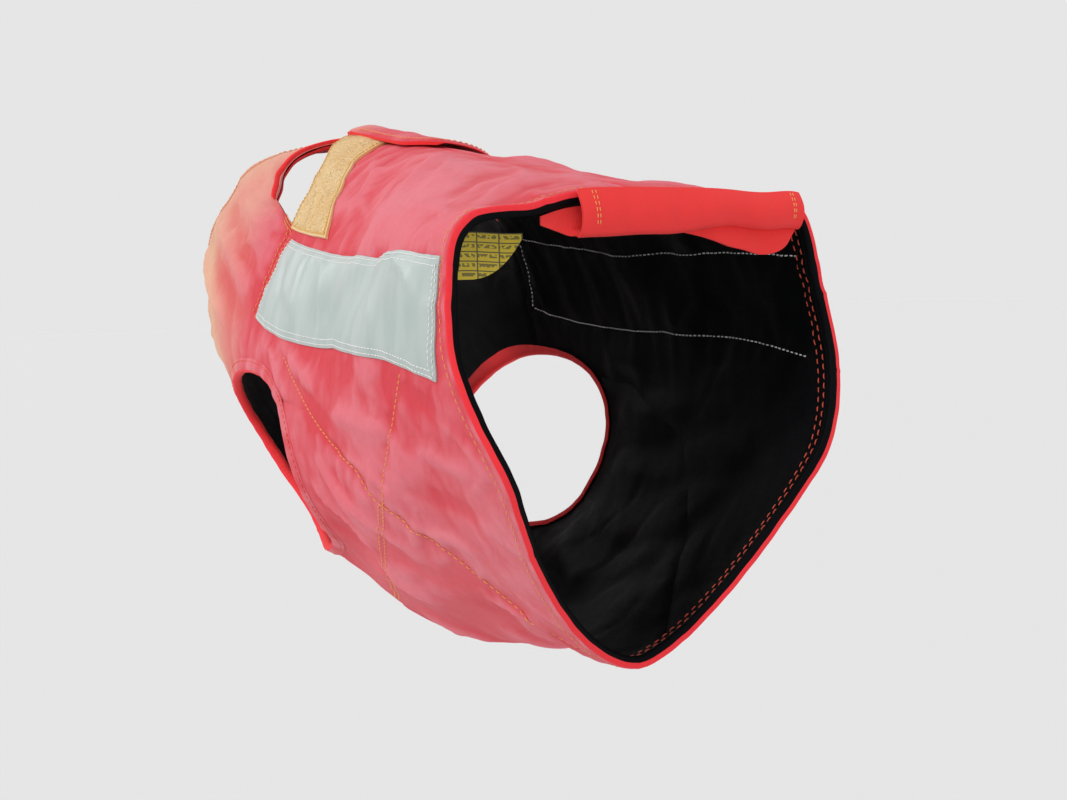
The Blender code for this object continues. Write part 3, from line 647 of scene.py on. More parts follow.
def closed(*lines):
    """One outline from lines that follow each other, each spaced, joints kept once."""
    outline = []
    for line in lines:
        for point in evenly(line, OUTLINE_SPACING):
            if not outline or np.linalg.norm(point - outline[-1]) > 0.5:
                outline.append(point)
    while np.linalg.norm(outline[0] - outline[-1]) < 0.5:
        outline.pop()
    return outline


def loop_of(rows, spacing=OUTLINE_SPACING):
    """A closed outline with straight sides through rows of (along, girth)."""
    corners = [flat(*row) for row in rows]
    loop = []
    for a, b in zip(corners, corners[1:] + corners[:1]):
        loop += list(evenly([a, b], spacing)[:-1])
    return loop


def area_of(outline):
    """Area, positive where the outline turns from along to girth."""
    outline = np.array(outline)
    after = np.roll(outline, -1, axis=0)
    return float(np.sum(outline[:, 0] * after[:, 1] - after[:, 0] * outline[:, 1]) / 2)


def inset(outline, amount):
    """The outline moved inwards by the same amount at each side."""
    turn = 1.0 if area_of(outline) > 0 else -1.0
    outline = np.array(outline)
    before = outline - np.roll(outline, 1, axis=0)
    after = np.roll(outline, -1, axis=0) - outline
    sides = []
    for run in (before, after):
        run = unit(run)
        sides.append(turn * np.stack((-run[:, 1], run[:, 0]), axis=1))
    middle = unit(sides[0] + sides[1])
    reach = np.maximum(0.5, np.sum(middle * sides[0], axis=1))
    return list(outline + middle * (amount / reach)[:, None])


def inside(points, outline):
    """Which flat points an outline holds."""
    outline = np.array(outline)
    hit = np.zeros(len(points), dtype=bool)
    for a, b in zip(outline, np.roll(outline, -1, axis=0)):
        if a[1] == b[1]:
            continue
        spans = (a[1] > points[:, 1]) != (b[1] > points[:, 1])
        crossing = a[0] + (points[:, 1] - a[1]) * (b[0] - a[0]) / (b[1] - a[1])
        hit ^= spans & (points[:, 0] < crossing)
    return hit


def nearest(points, line, joined=False):
    """Distance of flat points from a line, and how far along it the nearest spot lies. Points
    further off than NEAR_REACH are only known to be so."""
    line = np.array(line)
    ends = np.concatenate((line[1:], line[:1])) if joined else line[1:]
    low, high = line.min(axis=0) - NEAR_REACH, line.max(axis=0) + NEAR_REACH
    close = np.nonzero(np.all((points > low) & (points < high), axis=1))[0]
    field = points[close]
    best = np.full(len(field), 1e9)
    run_at = np.zeros(len(field))
    run = 0.0
    for a, b in zip(line, ends):
        step = b - a
        length = math.hypot(*step)
        if length == 0:
            continue
        x, y = field[:, 0] - a[0], field[:, 1] - a[1]
        share = np.clip((x * step[0] + y * step[1]) / (length * length), 0, 1)
        distance = np.hypot(x - share * step[0], y - share * step[1])
        closer = distance < best
        best = np.where(closer, distance, best)
        run_at = np.where(closer, run + share * length, run_at)
        run += length
    far = np.full(len(points), 1e9)
    runs = np.zeros(len(points))
    far[close], runs[close] = best, run_at
    return far, runs


def net(outline, marks, spacing):
    """Points and triangles over a flat outline. The marks' outlines are kept as edges."""
    outline = inset(outline, -SEAM_LAP)
    loops = [outline, *marks]
    points = [p for loop in loops for p in loop]
    edges = []
    start = 0
    for loop in loops:
        edges += [(start + i, start + (i + 1) % len(loop)) for i in range(len(loop))]
        start += len(loop)
    low, high = np.min(outline, axis=0), np.max(outline, axis=0)
    row_height = spacing * math.sqrt(3) / 2
    rows, columns = np.meshgrid(np.arange(int((high[1] - low[1]) / row_height) + 1),
                                np.arange(int((high[0] - low[0]) / spacing) + 2))
    rows, columns = rows.ravel(), columns.ravel()
    field = low + np.stack(((columns + 0.5 * (rows % 2)) * spacing, (rows + 0.5) * row_height), 1)
    keep = inside(field, outline)
    for loop in loops:
        keep &= nearest(field, loop, True)[0] > spacing * 0.5
    points += list(field[keep])
    result = delaunay_2d_cdt([Vector(p) for p in points], edges, [], 0, 1e-6)
    places = np.array([tuple(p) for p in result[0]])
    faces = np.array([f for f in result[2] if len(f) == 3])
    a, b, c = places[faces[:, 0]], places[faces[:, 1]], places[faces[:, 2]]
    size = np.abs((b - a)[:, 0] * (c - a)[:, 1] - (b - a)[:, 1] * (c - a)[:, 0]) / 2
    faces = faces[inside((a + b + c) / 3, outline) & (size > 0.02)]
    used, faces = np.unique(faces, return_inverse=True)
    return places[used], faces.reshape(-1, 3)


def back_outline():
    hem_end = edge_point(HEM, BELLY_SEAM_HEM, UNDER_BINDING)
    return closed(
        [flat(HEM[0][1] + UNDER_BINDING, 0), flat(BACK_FRONT[0][1], 0)],
        edge_line(BACK_FRONT, 0, BACK_FRONT[-1][0]),
        smooth_line(SHOULDER_SEAM) + [leg_place(SHOULDER_SEAM_TURN, UNDER_BINDING)],
        leg_line(SHOULDER_SEAM_TURN, BELLY_SEAM_TURN),
        [leg_place(BELLY_SEAM_TURN, UNDER_BINDING)] + smooth_line(BELLY_SEAM) + [hem_end],
        edge_line(HEM, BELLY_SEAM_HEM, 0, UNDER_BINDING))


def belly_outline():
    hem_end = edge_point(HEM, BELLY_SEAM_HEM, UNDER_BINDING)
    leg = leg_line(BELLY_SEAM_TURN, 360 + CHEST_SEAM_TURN)
    seam = [hem_end] + smooth_line(BELLY_SEAM)[::-1] + [leg[0]]
    return closed(seam, leg, [leg[-1], mirrored([leg[-1]])[0]], mirrored(leg), mirrored(seam),
                  edge_line(HEM, 2 - BELLY_SEAM_HEM, BELLY_SEAM_HEM, UNDER_BINDING))


def chest_outline():
    leg = leg_line(CHEST_SEAM_TURN, NECK_SEAM_TURN)
    neck_end = edge_point(NECK, NECK_SEAM_GIRTH, -UNDER_BINDING)
    return closed(leg, [leg[-1], neck_end],
                  edge_line(NECK, NECK_SEAM_GIRTH, 2 - NECK_SEAM_GIRTH, -UNDER_BINDING),
                  [mirrored([neck_end])[0], mirrored([leg[-1]])[0]], mirrored(leg),
                  [mirrored([leg[0]])[0], leg[0]])


def shoulder_outline():
    neck_end = edge_point(NECK, NECK_SEAM_GIRTH, -UNDER_BINDING)
    leg = leg_line(SHOULDER_SEAM_TURN, NECK_SEAM_TURN)
    strap = edge_line(STRAP_REAR, 0, STRAP_REAR[-1][0])
    return closed(smooth_line(SHOULDER_SEAM) + [leg[0]], leg, [leg[-1], neck_end],
                  edge_line(NECK, NECK_SEAM_GIRTH, 0, -UNDER_BINDING), strap,
                  [strap[-1], flat(*SHOULDER_SEAM[0])])


@functools.lru_cache(maxsize=None)
def panels():
    """Outline of each cut piece, by its node."""
    cut = {"belly": belly_outline(), "chest": chest_outline()}
    for side, word in ((1, "left"), (-1, "right")):
        cut["back_" + word] = on_side(back_outline(), side)
        cut["shoulder_" + word] = on_side(shoulder_outline(), side)
    return cut


# ---------------------------------------------------------------- faces of the cloth

@functools.lru_cache(maxsize=None)
def outer_rows():
    """Lines that are sewn through the outer cloth, with how deep each pulls it in."""
    rows = []
    for side in (1, -1):
        lines = {"flank": smooth_line(FLANK_ROW), "diagonal": smooth_line(DIAGONAL_ROW),
                 "shoulder": smooth_line(SHOULDER_SEAM), "leg": leg_seam(),
                 "tape": loop_of(REFLECTIVE, SEAM_SPACING),
                 "neck": [leg_place(NECK_SEAM_TURN, LEG_BINDING),
                          edge_point(NECK, NECK_SEAM_GIRTH)]}
        rows += [(on_side(line, side), SEAM_DEPTHS[name]) for name, line in lines.items()]
    rows.append((loop_of(LOOP_STRIP, SEAM_SPACING), SEAM_DEPTHS["loop"]))
    chest_end = leg_place(CHEST_SEAM_TURN, LEG_BINDING)
    rows.append(([chest_end, mirrored([chest_end])[0]], SEAM_DEPTHS["chest"]))
    return rows


def rumple(places, seed, shortest, longest, count=7):
    """Even waves that cross, the same all round: about -2 to 2."""
    chance = np.random.default_rng(seed)
    total = np.zeros(len(places))
    for _ in range(count):
        length, turn, phase = chance.uniform((shortest, 0, 0), (longest, math.pi, 2 * math.pi))
        around = round(2 * HALF_GIRTH * math.sin(turn) / length) / (2 * HALF_GIRTH)
        total += np.sin(2 * math.pi * (places[:, 0] * math.cos(turn) / length
                                       + places[:, 1] * around) + phase)
    return total * math.sqrt(2 / count)


def worn(places, seed, height):
    """Thin ridges of cloth that has been worn and packed, in patches."""
    ridge = np.exp(-(rumple(places, seed, *WORN_WAVES) / WORN_SHARPNESS)**2)
    patch = np.clip(0.55 + 0.5 * rumple(places, seed + 1, *PATCH_WAVES, 5), 0, 1.2)
    return height * (ridge * patch - 0.2) + FINE_HEIGHT * rumple(places, seed + 2, *FINE_WAVES, 9)


def sewn_in(places, rows, width=3.4):
    """How far the sewing pulls the cloth in, with the puckers that it leaves beside it."""
    total = np.zeros(len(places))
    for line, depth in rows:
        spots = places
        if np.mean(line, axis=0)[1] < 0:
            spots = np.stack((places[:, 0], wrapped(places[:, 1] / HALF_GIRTH) * HALF_GIRTH), 1)
        distance, run = nearest(spots, line)
        total -= depth * np.exp(-(distance / width)**2)
        ripple = np.sin(run / 1.75 + 0.8 * np.sin(run / 9.0)) + 0.6 * np.sin(run / 3.1 + 1.0)
        share, away, spread = SEAM_RIPPLE
        total += share * depth * ripple * np.exp(-((distance - away) / spread)**2)
        pucker = 0.45 - np.abs(np.sin(run / 7.3 + 1.4 * np.sin(run / 23.0)))**0.7
        patch = 0.6 + 0.4 * np.sin(run / 31.0 + 2.0)
        share, away, spread = SEAM_PUCKER
        total += share * depth * pucker * patch * np.exp(-((distance - away) / spread)**2)
    return total


@functools.lru_cache(maxsize=None)
def edge_places():
    """Where hem and neck lie, at even shares of the half girth."""
    shares = np.linspace(0.0, 1.0, 121)
    return shares, [through(HEM, g)[0] for g in shares], [through(NECK, g)[0] for g in shares]


def calm(places):
    """How much of the creasing is left beside the hem, the neck and the leg holes."""
    girth = np.abs(wrapped(places[:, 1] / HALF_GIRTH))
    shares, hem, neck = edge_places()
    gap = np.minimum(places[:, 0] - np.interp(girth, shares, hem),
                     np.interp(girth, shares, neck) - places[:, 0])
    run, drop = places[:, 0] - LEG_ALONG, (girth - LEG_GIRTH) * HALF_GIRTH
    turn = math.radians(LEG_TILT)
    ahead = (run * math.cos(turn) + drop * math.sin(turn)) / LEG_HALF_LENGTH
    below = (drop * math.cos(turn) - run * math.sin(turn)) / LEG_HALF_HEIGHT
    gap = np.minimum(gap, (np.hypot(ahead, below) - 1) * LEG_HALF_HEIGHT)
    return CALM_LEAST + (1 - CALM_LEAST) * np.clip(gap / CALM_REACH, 0, 1)


def outer_detail(places):
    """Height of the outer cloth's creases and puckers over its large folds."""
    height = creased(places, CREASES) * CREASE_GAIN + worn(places, *OUTER_WORN)
    height = (height + sewn_in(places, outer_rows())) * calm(places)
    return np.clip(height, *OUTER_RANGE)


@functools.lru_cache(maxsize=None)
def lining_rows():
    """Lines sewn through the lining, seen from inside."""
    rows = []
    for side in (1, -1):
        lines = {"tape": loop_of(REFLECTIVE, SEAM_SPACING), "leg": leg_seam()}
        rows += [(on_side(line, side), LINING_SEAM_DEPTHS[name]) for name, line in lines.items()]
    return rows


def lining_detail(places):
    """The same for the lining. What stands up towards the outer cloth is positive."""
    height = creased(places, LINING_CREASES) + worn(places, *LINING_WORN)
    height += sewn_in(places, lining_rows(), LINING_SEAM_WIDTH)
    return np.clip(height * calm(places), *LINING_RANGE)


def outer_face(places, lift=0.0):
    """Positions and normals on the outer cloth's face."""
    return lifted(places, folds(places) + outer_detail(places) + lift)


def loop_face(places, lift=0.0):
    """The same on the loop tape, which takes on only part of the creases."""
    detail = LOOP_FOLLOWS * outer_detail(places)
    return lifted(places, folds(places) + detail + LOOP_LIFT[1] + lift)


def lining_face(places):
    """The same on the face of the lining that shows."""
    spots, normal = lifted(places, folds(places) + LINING_LOW + lining_detail(places))
    return spots, -normal


# ---------------------------------------------------------------- meshes

def made(name, points, faces, places=None, crease=None, sharp=40.0):
    """An object from points in millimetres. Its flat places become the UV map, in metres."""
    mesh = bpy.data.meshes.new(name)
    mesh.from_pydata([tuple(p) for p in np.asarray(points) * MM], [],
                     [tuple(int(i) for i in f) for f in faces])
    corners = np.zeros(len(mesh.loops), dtype=np.int32)
    mesh.loops.foreach_get("vertex_index", corners)
    if places is not None:
        layer = mesh.uv_layers.new(name="cloth")
        layer.data.foreach_set("uv", (np.asarray(places)[corners] * MM).ravel())
    # Height that the outer finish turns into painted shade and painted highlight.
    if crease is not None:
        held = mesh.attributes.new("crease", "FLOAT", "POINT")
        held.data.foreach_set("value", np.asarray(crease, dtype=float))
    mesh.shade_smooth()
    mesh.set_sharp_from_angle(angle=math.radians(sharp))
    piece = bpy.data.objects.new(name, mesh)
    bpy.context.scene.collection.objects.link(piece)
    return piece


def rim_of(faces):
    """Edges of a net that only one triangle has."""
    sides = {}
    for face in faces:
        for a, b in zip(face, (face[1], face[2], face[0])):
            if (b, a) in sides:
                del sides[b, a]
            else:
                sides[a, b] = True
    return list(sides)


def shell(name, places, faces, high, low, crease):
    """A closed wall between two sheets of positions over one net."""
    count = len(places)
    points = np.concatenate((high, low))
    quads = [(b, a, a + count, b + count) for a, b in rim_of(faces.tolist())]
    turned = (faces[:, ::-1] + count).tolist()
    return made(name, points, faces.tolist() + turned + quads,
                np.concatenate((places, places)), np.concatenate((crease, crease)))


def slab(rows, columns):
    """Faces of a thin wall on two grids of points that follow each other."""
    sheet = rows * columns
    faces = []
    for i in range(rows - 1):
        for j in range(columns - 1):
            a = i * columns + j
            quad = (a, a + 1, a + 1 + columns, a + columns)
            faces += [quad, tuple(k + sheet for k in reversed(quad))]
    rim = [i * columns for i in range(rows)]
    rim += [(rows - 1) * columns + j for j in range(1, columns)]
    rim += [i * columns + columns - 1 for i in range(rows - 2, -1, -1)]
    rim += list(range(columns - 2, 0, -1))
    return faces + [(a, b, b + sheet, a + sheet) for a, b in zip(rim, rim[1:] + rim[:1])]


def turn_out(piece):
    """Faces of a closed piece turned outwards."""
    bpy.ops.object.select_all(action="DESELECT")
    bpy.context.view_layer.objects.active = piece
    piece.select_set(True)
    bpy.ops.object.mode_set(mode="EDIT")
    bpy.ops.mesh.select_all(action="SELECT")
    bpy.ops.mesh.normals_make_consistent(inside=False)
    bpy.ops.object.mode_set(mode="OBJECT")


def keep(piece, slot, *nodes):
    """Puts a piece on the root body and hides the solids that it replaces. Its slot is not used."""
    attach(piece, "root")
    if nodes:
        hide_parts(*nodes)


def keep_sheet(piece, outline, slot, *nodes):
    """The same for a cloth piece. Its outline, the cut size, is not used."""
    keep(piece, slot, *nodes)


def keep_strip(piece, width, length, slot, *nodes):
    """The same for a tape of even width. Its width and length, both in millimetres, are not used.
    """
    keep(piece, slot, *nodes)


def carried(line, profile, extra=0.0, share=None):
    """A closed loop: a profile of (across, lift) carried round flat places that each come with
    the direction that across is measured in. It follows the creases of the face it lies on.
    Share scales its width on the inside, place by place."""
    places, lifts = [], []
    for i, (place, direction) in enumerate(line):
        for across, lift in profile:
            scale = share[i] if share is not None and lift < LINING_TOP else 1.0
            places.append(place + direction * across * scale)
            lifts.append(lift)
    places, lifts = np.array(places), np.array(lifts)
    lifts += np.where(lifts > LINING_TOP, outer_detail(places), lining_detail(places)) + extra
    points = tube(places) + outward(places) * (folds(places) + lifts)[:, None]
    size, count = len(profile), len(line)
    faces = []
    for i in range(count):
        for j in range(size):
            after = (i + 1) % count
            faces.append((i * size + j, i * size + (j + 1) % size,
                          after * size + (j + 1) % size, after * size + j))
    return points, faces, places


# ---------------------------------------------------------------- finishes

def math_node(operation, turned=False):
    """A method that puts a Math node on the value and another, or on both the other way round."""
    def method(self, other=0.0):
        first, second = (other, self) if turned else (self, other)
        return self.finish.node("ShaderNodeMath", {"operation": operation}, {0: first, 1: second})
    return method


class Shade:
    """A value or colour in a material. Sums written on it become Math nodes."""

    def __init__(self, finish, socket):
        self.finish = finish
        self.socket = socket

    __add__ = math_node("ADD")
    __radd__ = math_node("ADD", True)
    __sub__ = math_node("SUBTRACT")
    __rsub__ = math_node("SUBTRACT", True)
    __mul__ = math_node("MULTIPLY")
    __truediv__ = math_node("DIVIDE")
    sine = math_node("SINE")
    size = math_node("ABSOLUTE")
    over = math_node("GREATER_THAN")
    fraction = math_node("FRACT")

    def limited(self):
        return self.finish.node("ShaderNodeClamp", {}, {"Value": self})

    def part(self, period):
        """Where a value lies inside its period, 0 to 1."""
        return (self / period).fraction()


class Finish:
    """A material under work."""

    def __init__(self, name, roughness=0.8, sheen=0.0, specular=0.5):
        self.material = bpy.data.materials.new(name)
        self.material.use_nodes = True
        self.tree = self.material.node_tree
        self.shader = self.tree.nodes["Principled BSDF"]
        self.shader.inputs["Roughness"].default_value = roughness
        self.shader.inputs["Sheen Weight"].default_value = sheen
        self.shader.inputs["Specular IOR Level"].default_value = specular

    def node(self, kind, settings, sockets, out=0):
        """Any node: its settings first, then what goes into its sockets."""
        node = self.tree.nodes.new(kind)
        for key, value in settings.items():
            setattr(node, key, value)
        for key, value in sockets.items():
            if isinstance(value, Shade):
                self.tree.links.new(value.socket, node.inputs[key])
            else:
                node.inputs[key].default_value = value
        return Shade(self, node.outputs[out])

    def mix(self, share, first, second):
        return self.node("ShaderNodeMix", {"data_type": "RGBA"}, {0: share, 6: first, 7: second}, 2)

    def noise(self, vector, scale, detail=2.0, roughness=0.5):
        return self.node("ShaderNodeTexNoise", {}, {"Vector": vector, "Scale": scale,
                                                    "Detail": detail, "Roughness": roughness})

    def cloth_map(self):
        """The flat places, in metres, with their parts."""
        uv = self.node("ShaderNodeUVMap", {"uv_map": "cloth"}, {})
        parts = self.tree.nodes.new("ShaderNodeSeparateXYZ")
        self.tree.links.new(uv.socket, parts.inputs[0])
        return uv, Shade(self, parts.outputs[0]), Shade(self, parts.outputs[1])

    def place(self):
        return self.node("ShaderNodeTexCoord", {}, {}, 3)

    def held(self, name):
        return self.node("ShaderNodeAttribute", {"attribute_name": name}, {}, 2)

    def feed(self, name, value):
        self.tree.links.new(value.socket, self.shader.inputs[name])

    def bump(self, height, distance, strength=1.0):
        normal = self.node("ShaderNodeBump", {}, {"Strength": strength, "Distance": distance,
                                                  "Height": height})
        self.feed("Normal", normal)


def opaque(colour):
    return (*colour[:3], 1.0)


def weave(finish, along, around, pitch):
    """Twill: raised diagonal ribs made of short floats, 0 to 1."""
    turn = 2 * math.pi / pitch
    ribs = ((along + around) * turn).sine()
    floats = ((along - around * 0.6) * (turn * 1.7)).sine()
    return ribs * 0.36 + floats * 0.14 + 0.5


def outer_finish(colours):
    finish = Finish("outer_cloth", sheen=0.02, specular=0.12)
    uv, along, around = finish.cloth_map()
    place = finish.place()
    crease = finish.held("crease")
    cloud = finish.noise(place, 9.0, 3.0)
    fine = finish.noise(uv, 260.0, 3.0, 0.6)
    crumple = crumpled(finish, uv)
    # Painted shade and painted highlight: the cloth's height and the thin crumpled creases turn its
    # colour to the shade red in the hollows and to the ridge colour on the rises.
    ridge = (crease * 0.5 + 0.46 + (crumple - 0.3) * 0.85).limited()
    base = finish.mix(ridge, opaque(colours.painted_shade_red), opaque(colours.ridge))
    # Painted sheen: paler patches, laid at random by cloud noise.
    painted_sheen = ((cloud - 0.48) * 3.2).limited()
    base = finish.mix(painted_sheen * 0.5, base, opaque(colours.painted_sheen))
    forward = finish.node("ShaderNodeSeparateXYZ", {}, {0: place})
    # Painted warm light over the shoulder towards the neck, in patches.
    warm_light_share = ((forward - 0.09) * 9.0).limited() * ((cloud - 0.12) * 2.5 + crease * 0.1)
    base = finish.mix(warm_light_share.limited(), base, opaque(colours.painted_warm_light))
    fibre = weave(finish, along, around, 0.0011)
    # Painted shade between the twill's ribs, with random speckle from fine noise.
    base = finish.mix((0.5 - fibre) * 0.45 + (fine - 0.5) * 0.6, base, opaque(colours.painted_shade_red))
    finish.feed("Base Color", base)
    finish.feed("Roughness", 0.56 + fine * 0.14)
    finish.bump(fibre * 0.16 + fine * 0.08 + crumple, 0.0015, 0.85)
    return finish.material


def crumpled(finish, uv):
    """Sharp thin creases at two sizes, 0 in the crease and up to 1 between them."""
    stretched = finish.node("ShaderNodeMapping", {}, {"Vector": uv, "Scale": (1.0, 0.7, 1.0)})
    large = (finish.noise(stretched, 34.0, 1.5, 0.4) - 0.5).size() * 5.0
    small = (finish.noise(stretched, 95.0, 1.0, 0.4) - 0.5).size() * 5.0
    return large.limited() * 0.7 + small.limited() * 0.3


def lining_finish(colours):
    finish = Finish("lining_cloth", specular=0.06)
    uv, along, around = finish.cloth_map()
    fine = finish.noise(uv, 420.0, 2.0)
    cloud = finish.noise(finish.place(), 14.0, 2.0)
    rows = (along * (2 * math.pi / 0.0009)).sine() * (around * (2 * math.pi / 0.0009)).sine()
    # Painted sheen: bluish paler patches, laid at random by cloud noise.
    base = finish.mix(((cloud - 0.4) * 2.0).limited(), opaque(colours.lining),
                      opaque(colours.lining_painted_sheen))
    finish.feed("Base Color", base)
    finish.feed("Roughness", 0.46 + fine * 0.2)
    finish.bump(rows * 0.5 + fine, 0.0001, 0.5)
    return finish.material


def binding_finish(name, colour, dark):
    finish = Finish(name, roughness=0.7, sheen=0.05, specular=0.2)
    uv, along, around = finish.cloth_map()
    ribs = ((along + around * 0.35) * (2 * math.pi / 0.0013)).sine() * 0.5 + 0.5
    fine = finish.noise(uv, 300.0, 2.0)
    shade = (ribs * 0.35 + fine * 0.4).limited()
    finish.feed("Base Color", finish.mix(shade, opaque(colour), opaque(dark)))
    finish.bump(ribs + fine * 0.4, 0.00012, 0.6)
    return finish.material


def reflective_finish(colours):
    finish = Finish("reflective_tape", specular=0.55)
    uv = finish.cloth_map()[0]
    place = finish.place()
    beads = finish.node("ShaderNodeTexVoronoi", {}, {"Vector": uv, "Scale": 2600.0})
    cloud = finish.noise(place, 22.0, 3.0)
    streak = finish.node("ShaderNodeMapping", {}, {"Vector": uv, "Scale": (26.0, 6.0, 1.0)})
    sheen_streaks = finish.noise(streak, 3.0, 2.0)
    # Painted sheen: lighter streaks along the tape.
    base = finish.mix((sheen_streaks - 0.35) * 2.2, opaque(colours.tape), opaque(colours.tape_painted_sheen))
    base = finish.mix(((cloud - 0.56) * 3.0).limited() * 0.55, base, opaque(colours.tape_rose))
    base = finish.mix(beads * 0.25, base, opaque(colours.tape_dark))
    finish.feed("Base Color", base)
    finish.feed("Roughness", 0.36 + cloud * 0.16)
    finish.bump(beads * 0.6 + cloud * 0.4, 0.00006, 0.5)
    return finish.material


def loop_finish(colours):
    finish = Finish("loop_tape", roughness=0.9, sheen=0.5, specular=0.2)
    place = finish.place()
    fine = finish.noise(place, 900.0, 3.0, 0.7)
    cloud = finish.noise(place, 60.0, 2.0)
    base = finish.mix(((cloud - 0.35) * 2.0).limited(), opaque(colours.loop),
                      opaque(colours.loop_light))
    base = finish.mix(((fine - 0.45) * 2.0).limited() * 0.6, base, opaque(colours.loop_dark))
    finish.feed("Base Color", base)
    finish.bump(fine, 0.0003, 0.5)
    return finish.material


def thread_finish(name, colour):
    finish = Finish(name, roughness=0.6, sheen=0.1, specular=0.4)
    fine = finish.noise(finish.place(), 1500.0, 1.0)
    finish.feed("Base Color", finish.mix(fine * 0.5, opaque(colour),
                                         opaque([c * 0.6 for c in colour[:3]])))
    finish.bump(fine, 0.00005, 0.5)
    return finish.material


def label_finish(colours):
    """Yellow woven label with a plain printed table of rules and short bars."""
    finish = Finish("size_label", roughness=0.45, sheen=0.1, specular=0.5)
    uv, across, up = finish.cloth_map()
    turn = 2 * math.pi / 0.0005
    threads = (across * turn).sine() * (up * turn).sine()
    row, column = 0.0040, 0.0090
    rule = up.part(row).over(0.88)
    post = across.part(column).over(0.94)
    bar = (up + 0.0011).part(row).over(0.62) * (0.86 - across.part(column)).over(0.0)
    bar = bar * finish.noise(uv, 700.0, 0.0).over(0.47)
    ink = (rule + post + bar * 0.8).limited()
    finish.feed("Base Color", finish.mix(ink, opaque(colours.label), opaque(colours.label_ink)))
    finish.bump(threads * 0.5 + 0.5, 0.00005, 0.4)
    return finish.material


def stage_finish(colour):
    finish = Finish("floor", roughness=0.9, specular=0.1)
    soft = finish.noise(finish.place(), 3.0, 1.0)
    finish.feed("Base Color", finish.mix(soft * 0.03, opaque(colour),
                                         opaque([c * 0.9 for c in colour[:3]])))
    return finish.material


@functools.lru_cache(maxsize=None)
def finishes():
    colours = bpy.context.scene.vest_colours
    return {
        "outer": outer_finish(colours),
        "lining": lining_finish(colours),
        "binding": binding_finish("binding_cloth", colours.binding, colours.binding_dark),
        "flap": binding_finish("flap_cloth", colours.flap, colours.binding),
        "edge": binding_finish("edge_cloth", colours.edge, colours.binding),
        "tape": reflective_finish(colours),
        "loop": loop_finish(colours),
        "label": label_finish(colours),
        "orange_thread": thread_finish("orange_thread", colours.orange_thread),
        "white_thread": thread_finish("white_thread", colours.white_thread),
        "red_thread": thread_finish("red_thread", colours.red_thread),
        "yellow_thread": thread_finish("yellow_thread", colours.yellow_thread),
    }


# ---------------------------------------------------------------- sewing

@functools.lru_cache(maxsize=None)
def stitch_form():
    """One stitch, a thread that dips into the cloth at both ends. Modelled once, then copied."""
    bpy.ops.object.select_all(action="DESELECT")
    bpy.ops.mesh.primitive_cylinder_add(vertices=6, radius=0.5, depth=1.0, end_fill_type="NOTHING",
                                        rotation=(0, math.pi / 2, 0))
    piece = bpy.context.object
    bpy.ops.object.transform_apply(location=True, rotation=True, scale=True)
    bpy.ops.object.mode_set(mode="EDIT")
    bpy.ops.mesh.select_all(action="SELECT")
    bpy.ops.mesh.subdivide(number_cuts=1)
    bpy.ops.mesh.select_mode(type="VERT")
    for cut in (-STITCH_BEND, STITCH_BEND):
        bpy.ops.mesh.select_all(action="SELECT")
        bpy.ops.mesh.bisect(plane_co=(cut, 0, 0), plane_no=(1, 0, 0))
    bpy.ops.mesh.select_all(action="SELECT")
    bpy.ops.mesh.fill_holes(sides=0)
    bpy.ops.mesh.normals_make_consistent(inside=False)
    bpy.ops.object.mode_set(mode="OBJECT")
    points = np.array([tuple(v.co) for v in piece.data.vertices])
    piece.data.calc_loop_triangles()
    faces = [tuple(t.vertices) for t in piece.data.loop_triangles]
    bpy.data.objects.remove(piece, do_unlink=True)
    ends = np.abs(points[:, 0]) > 0.4
    points[ends, 1:] *= STITCH_THIN
    points[:, 2] -= np.where(ends, STITCH_DIP, 0.0)
    return points, faces


def sewn_row(name, lines, face, thread, width=0.55, length=2.6, pitch=3.5, joined=False, lift=0.1):
    """Stitches along flat lines on a face of the cloth, joined into one piece."""
    form, form_faces = stitch_form()
    corners = np.array(form_faces)
    points, faces = [], []
    for line in lines:
        line = np.array(line, dtype=float)
        if joined:
            line = np.concatenate((line, line[:1]))
        line = evenly(line, 1.0)
        spots, _ = face(line)
        run = run_of(spots)
        at = np.arange(pitch * 0.5, run[-1] - length * 0.5, pitch)
        ends = [np.stack([np.interp(at + half, run, line[:, k]) for k in (0, 1)], axis=1)
                for half in (-length / 2, length / 2)]
        start, normal = face(ends[0])
        end, _ = face(ends[1])
        ahead = end - start
        span = np.linalg.norm(ahead, axis=1)[:, None]
        ahead /= span
        beside = unit(np.cross(normal, ahead))
        up = np.cross(ahead, beside)
        middle = (start + end) / 2 + normal * lift
        block = (middle[:, None] + ahead[:, None] * (form[:, 0] * span)[:, :, None]
                 + beside[:, None] * (form[:, 1] * width)[None, :, None]
                 + up[:, None] * (form[:, 2] * width)[None, :, None])
        for stitch in block:
            faces.append(corners + len(points) * len(form))
            points.append(stitch)
    piece = made(name, np.concatenate(points), np.concatenate(faces), sharp=60.0)
    piece.data.materials.append(finishes()[thread])
    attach(piece, "root")
    return piece


# ---------------------------------------------------------------- what a user would change

def tint(name, words, colour):
    return bpy.props.FloatVectorProperty(name=name, description=words, subtype="COLOR", size=3,
                                         min=0.0, max=1.0, default=colour)


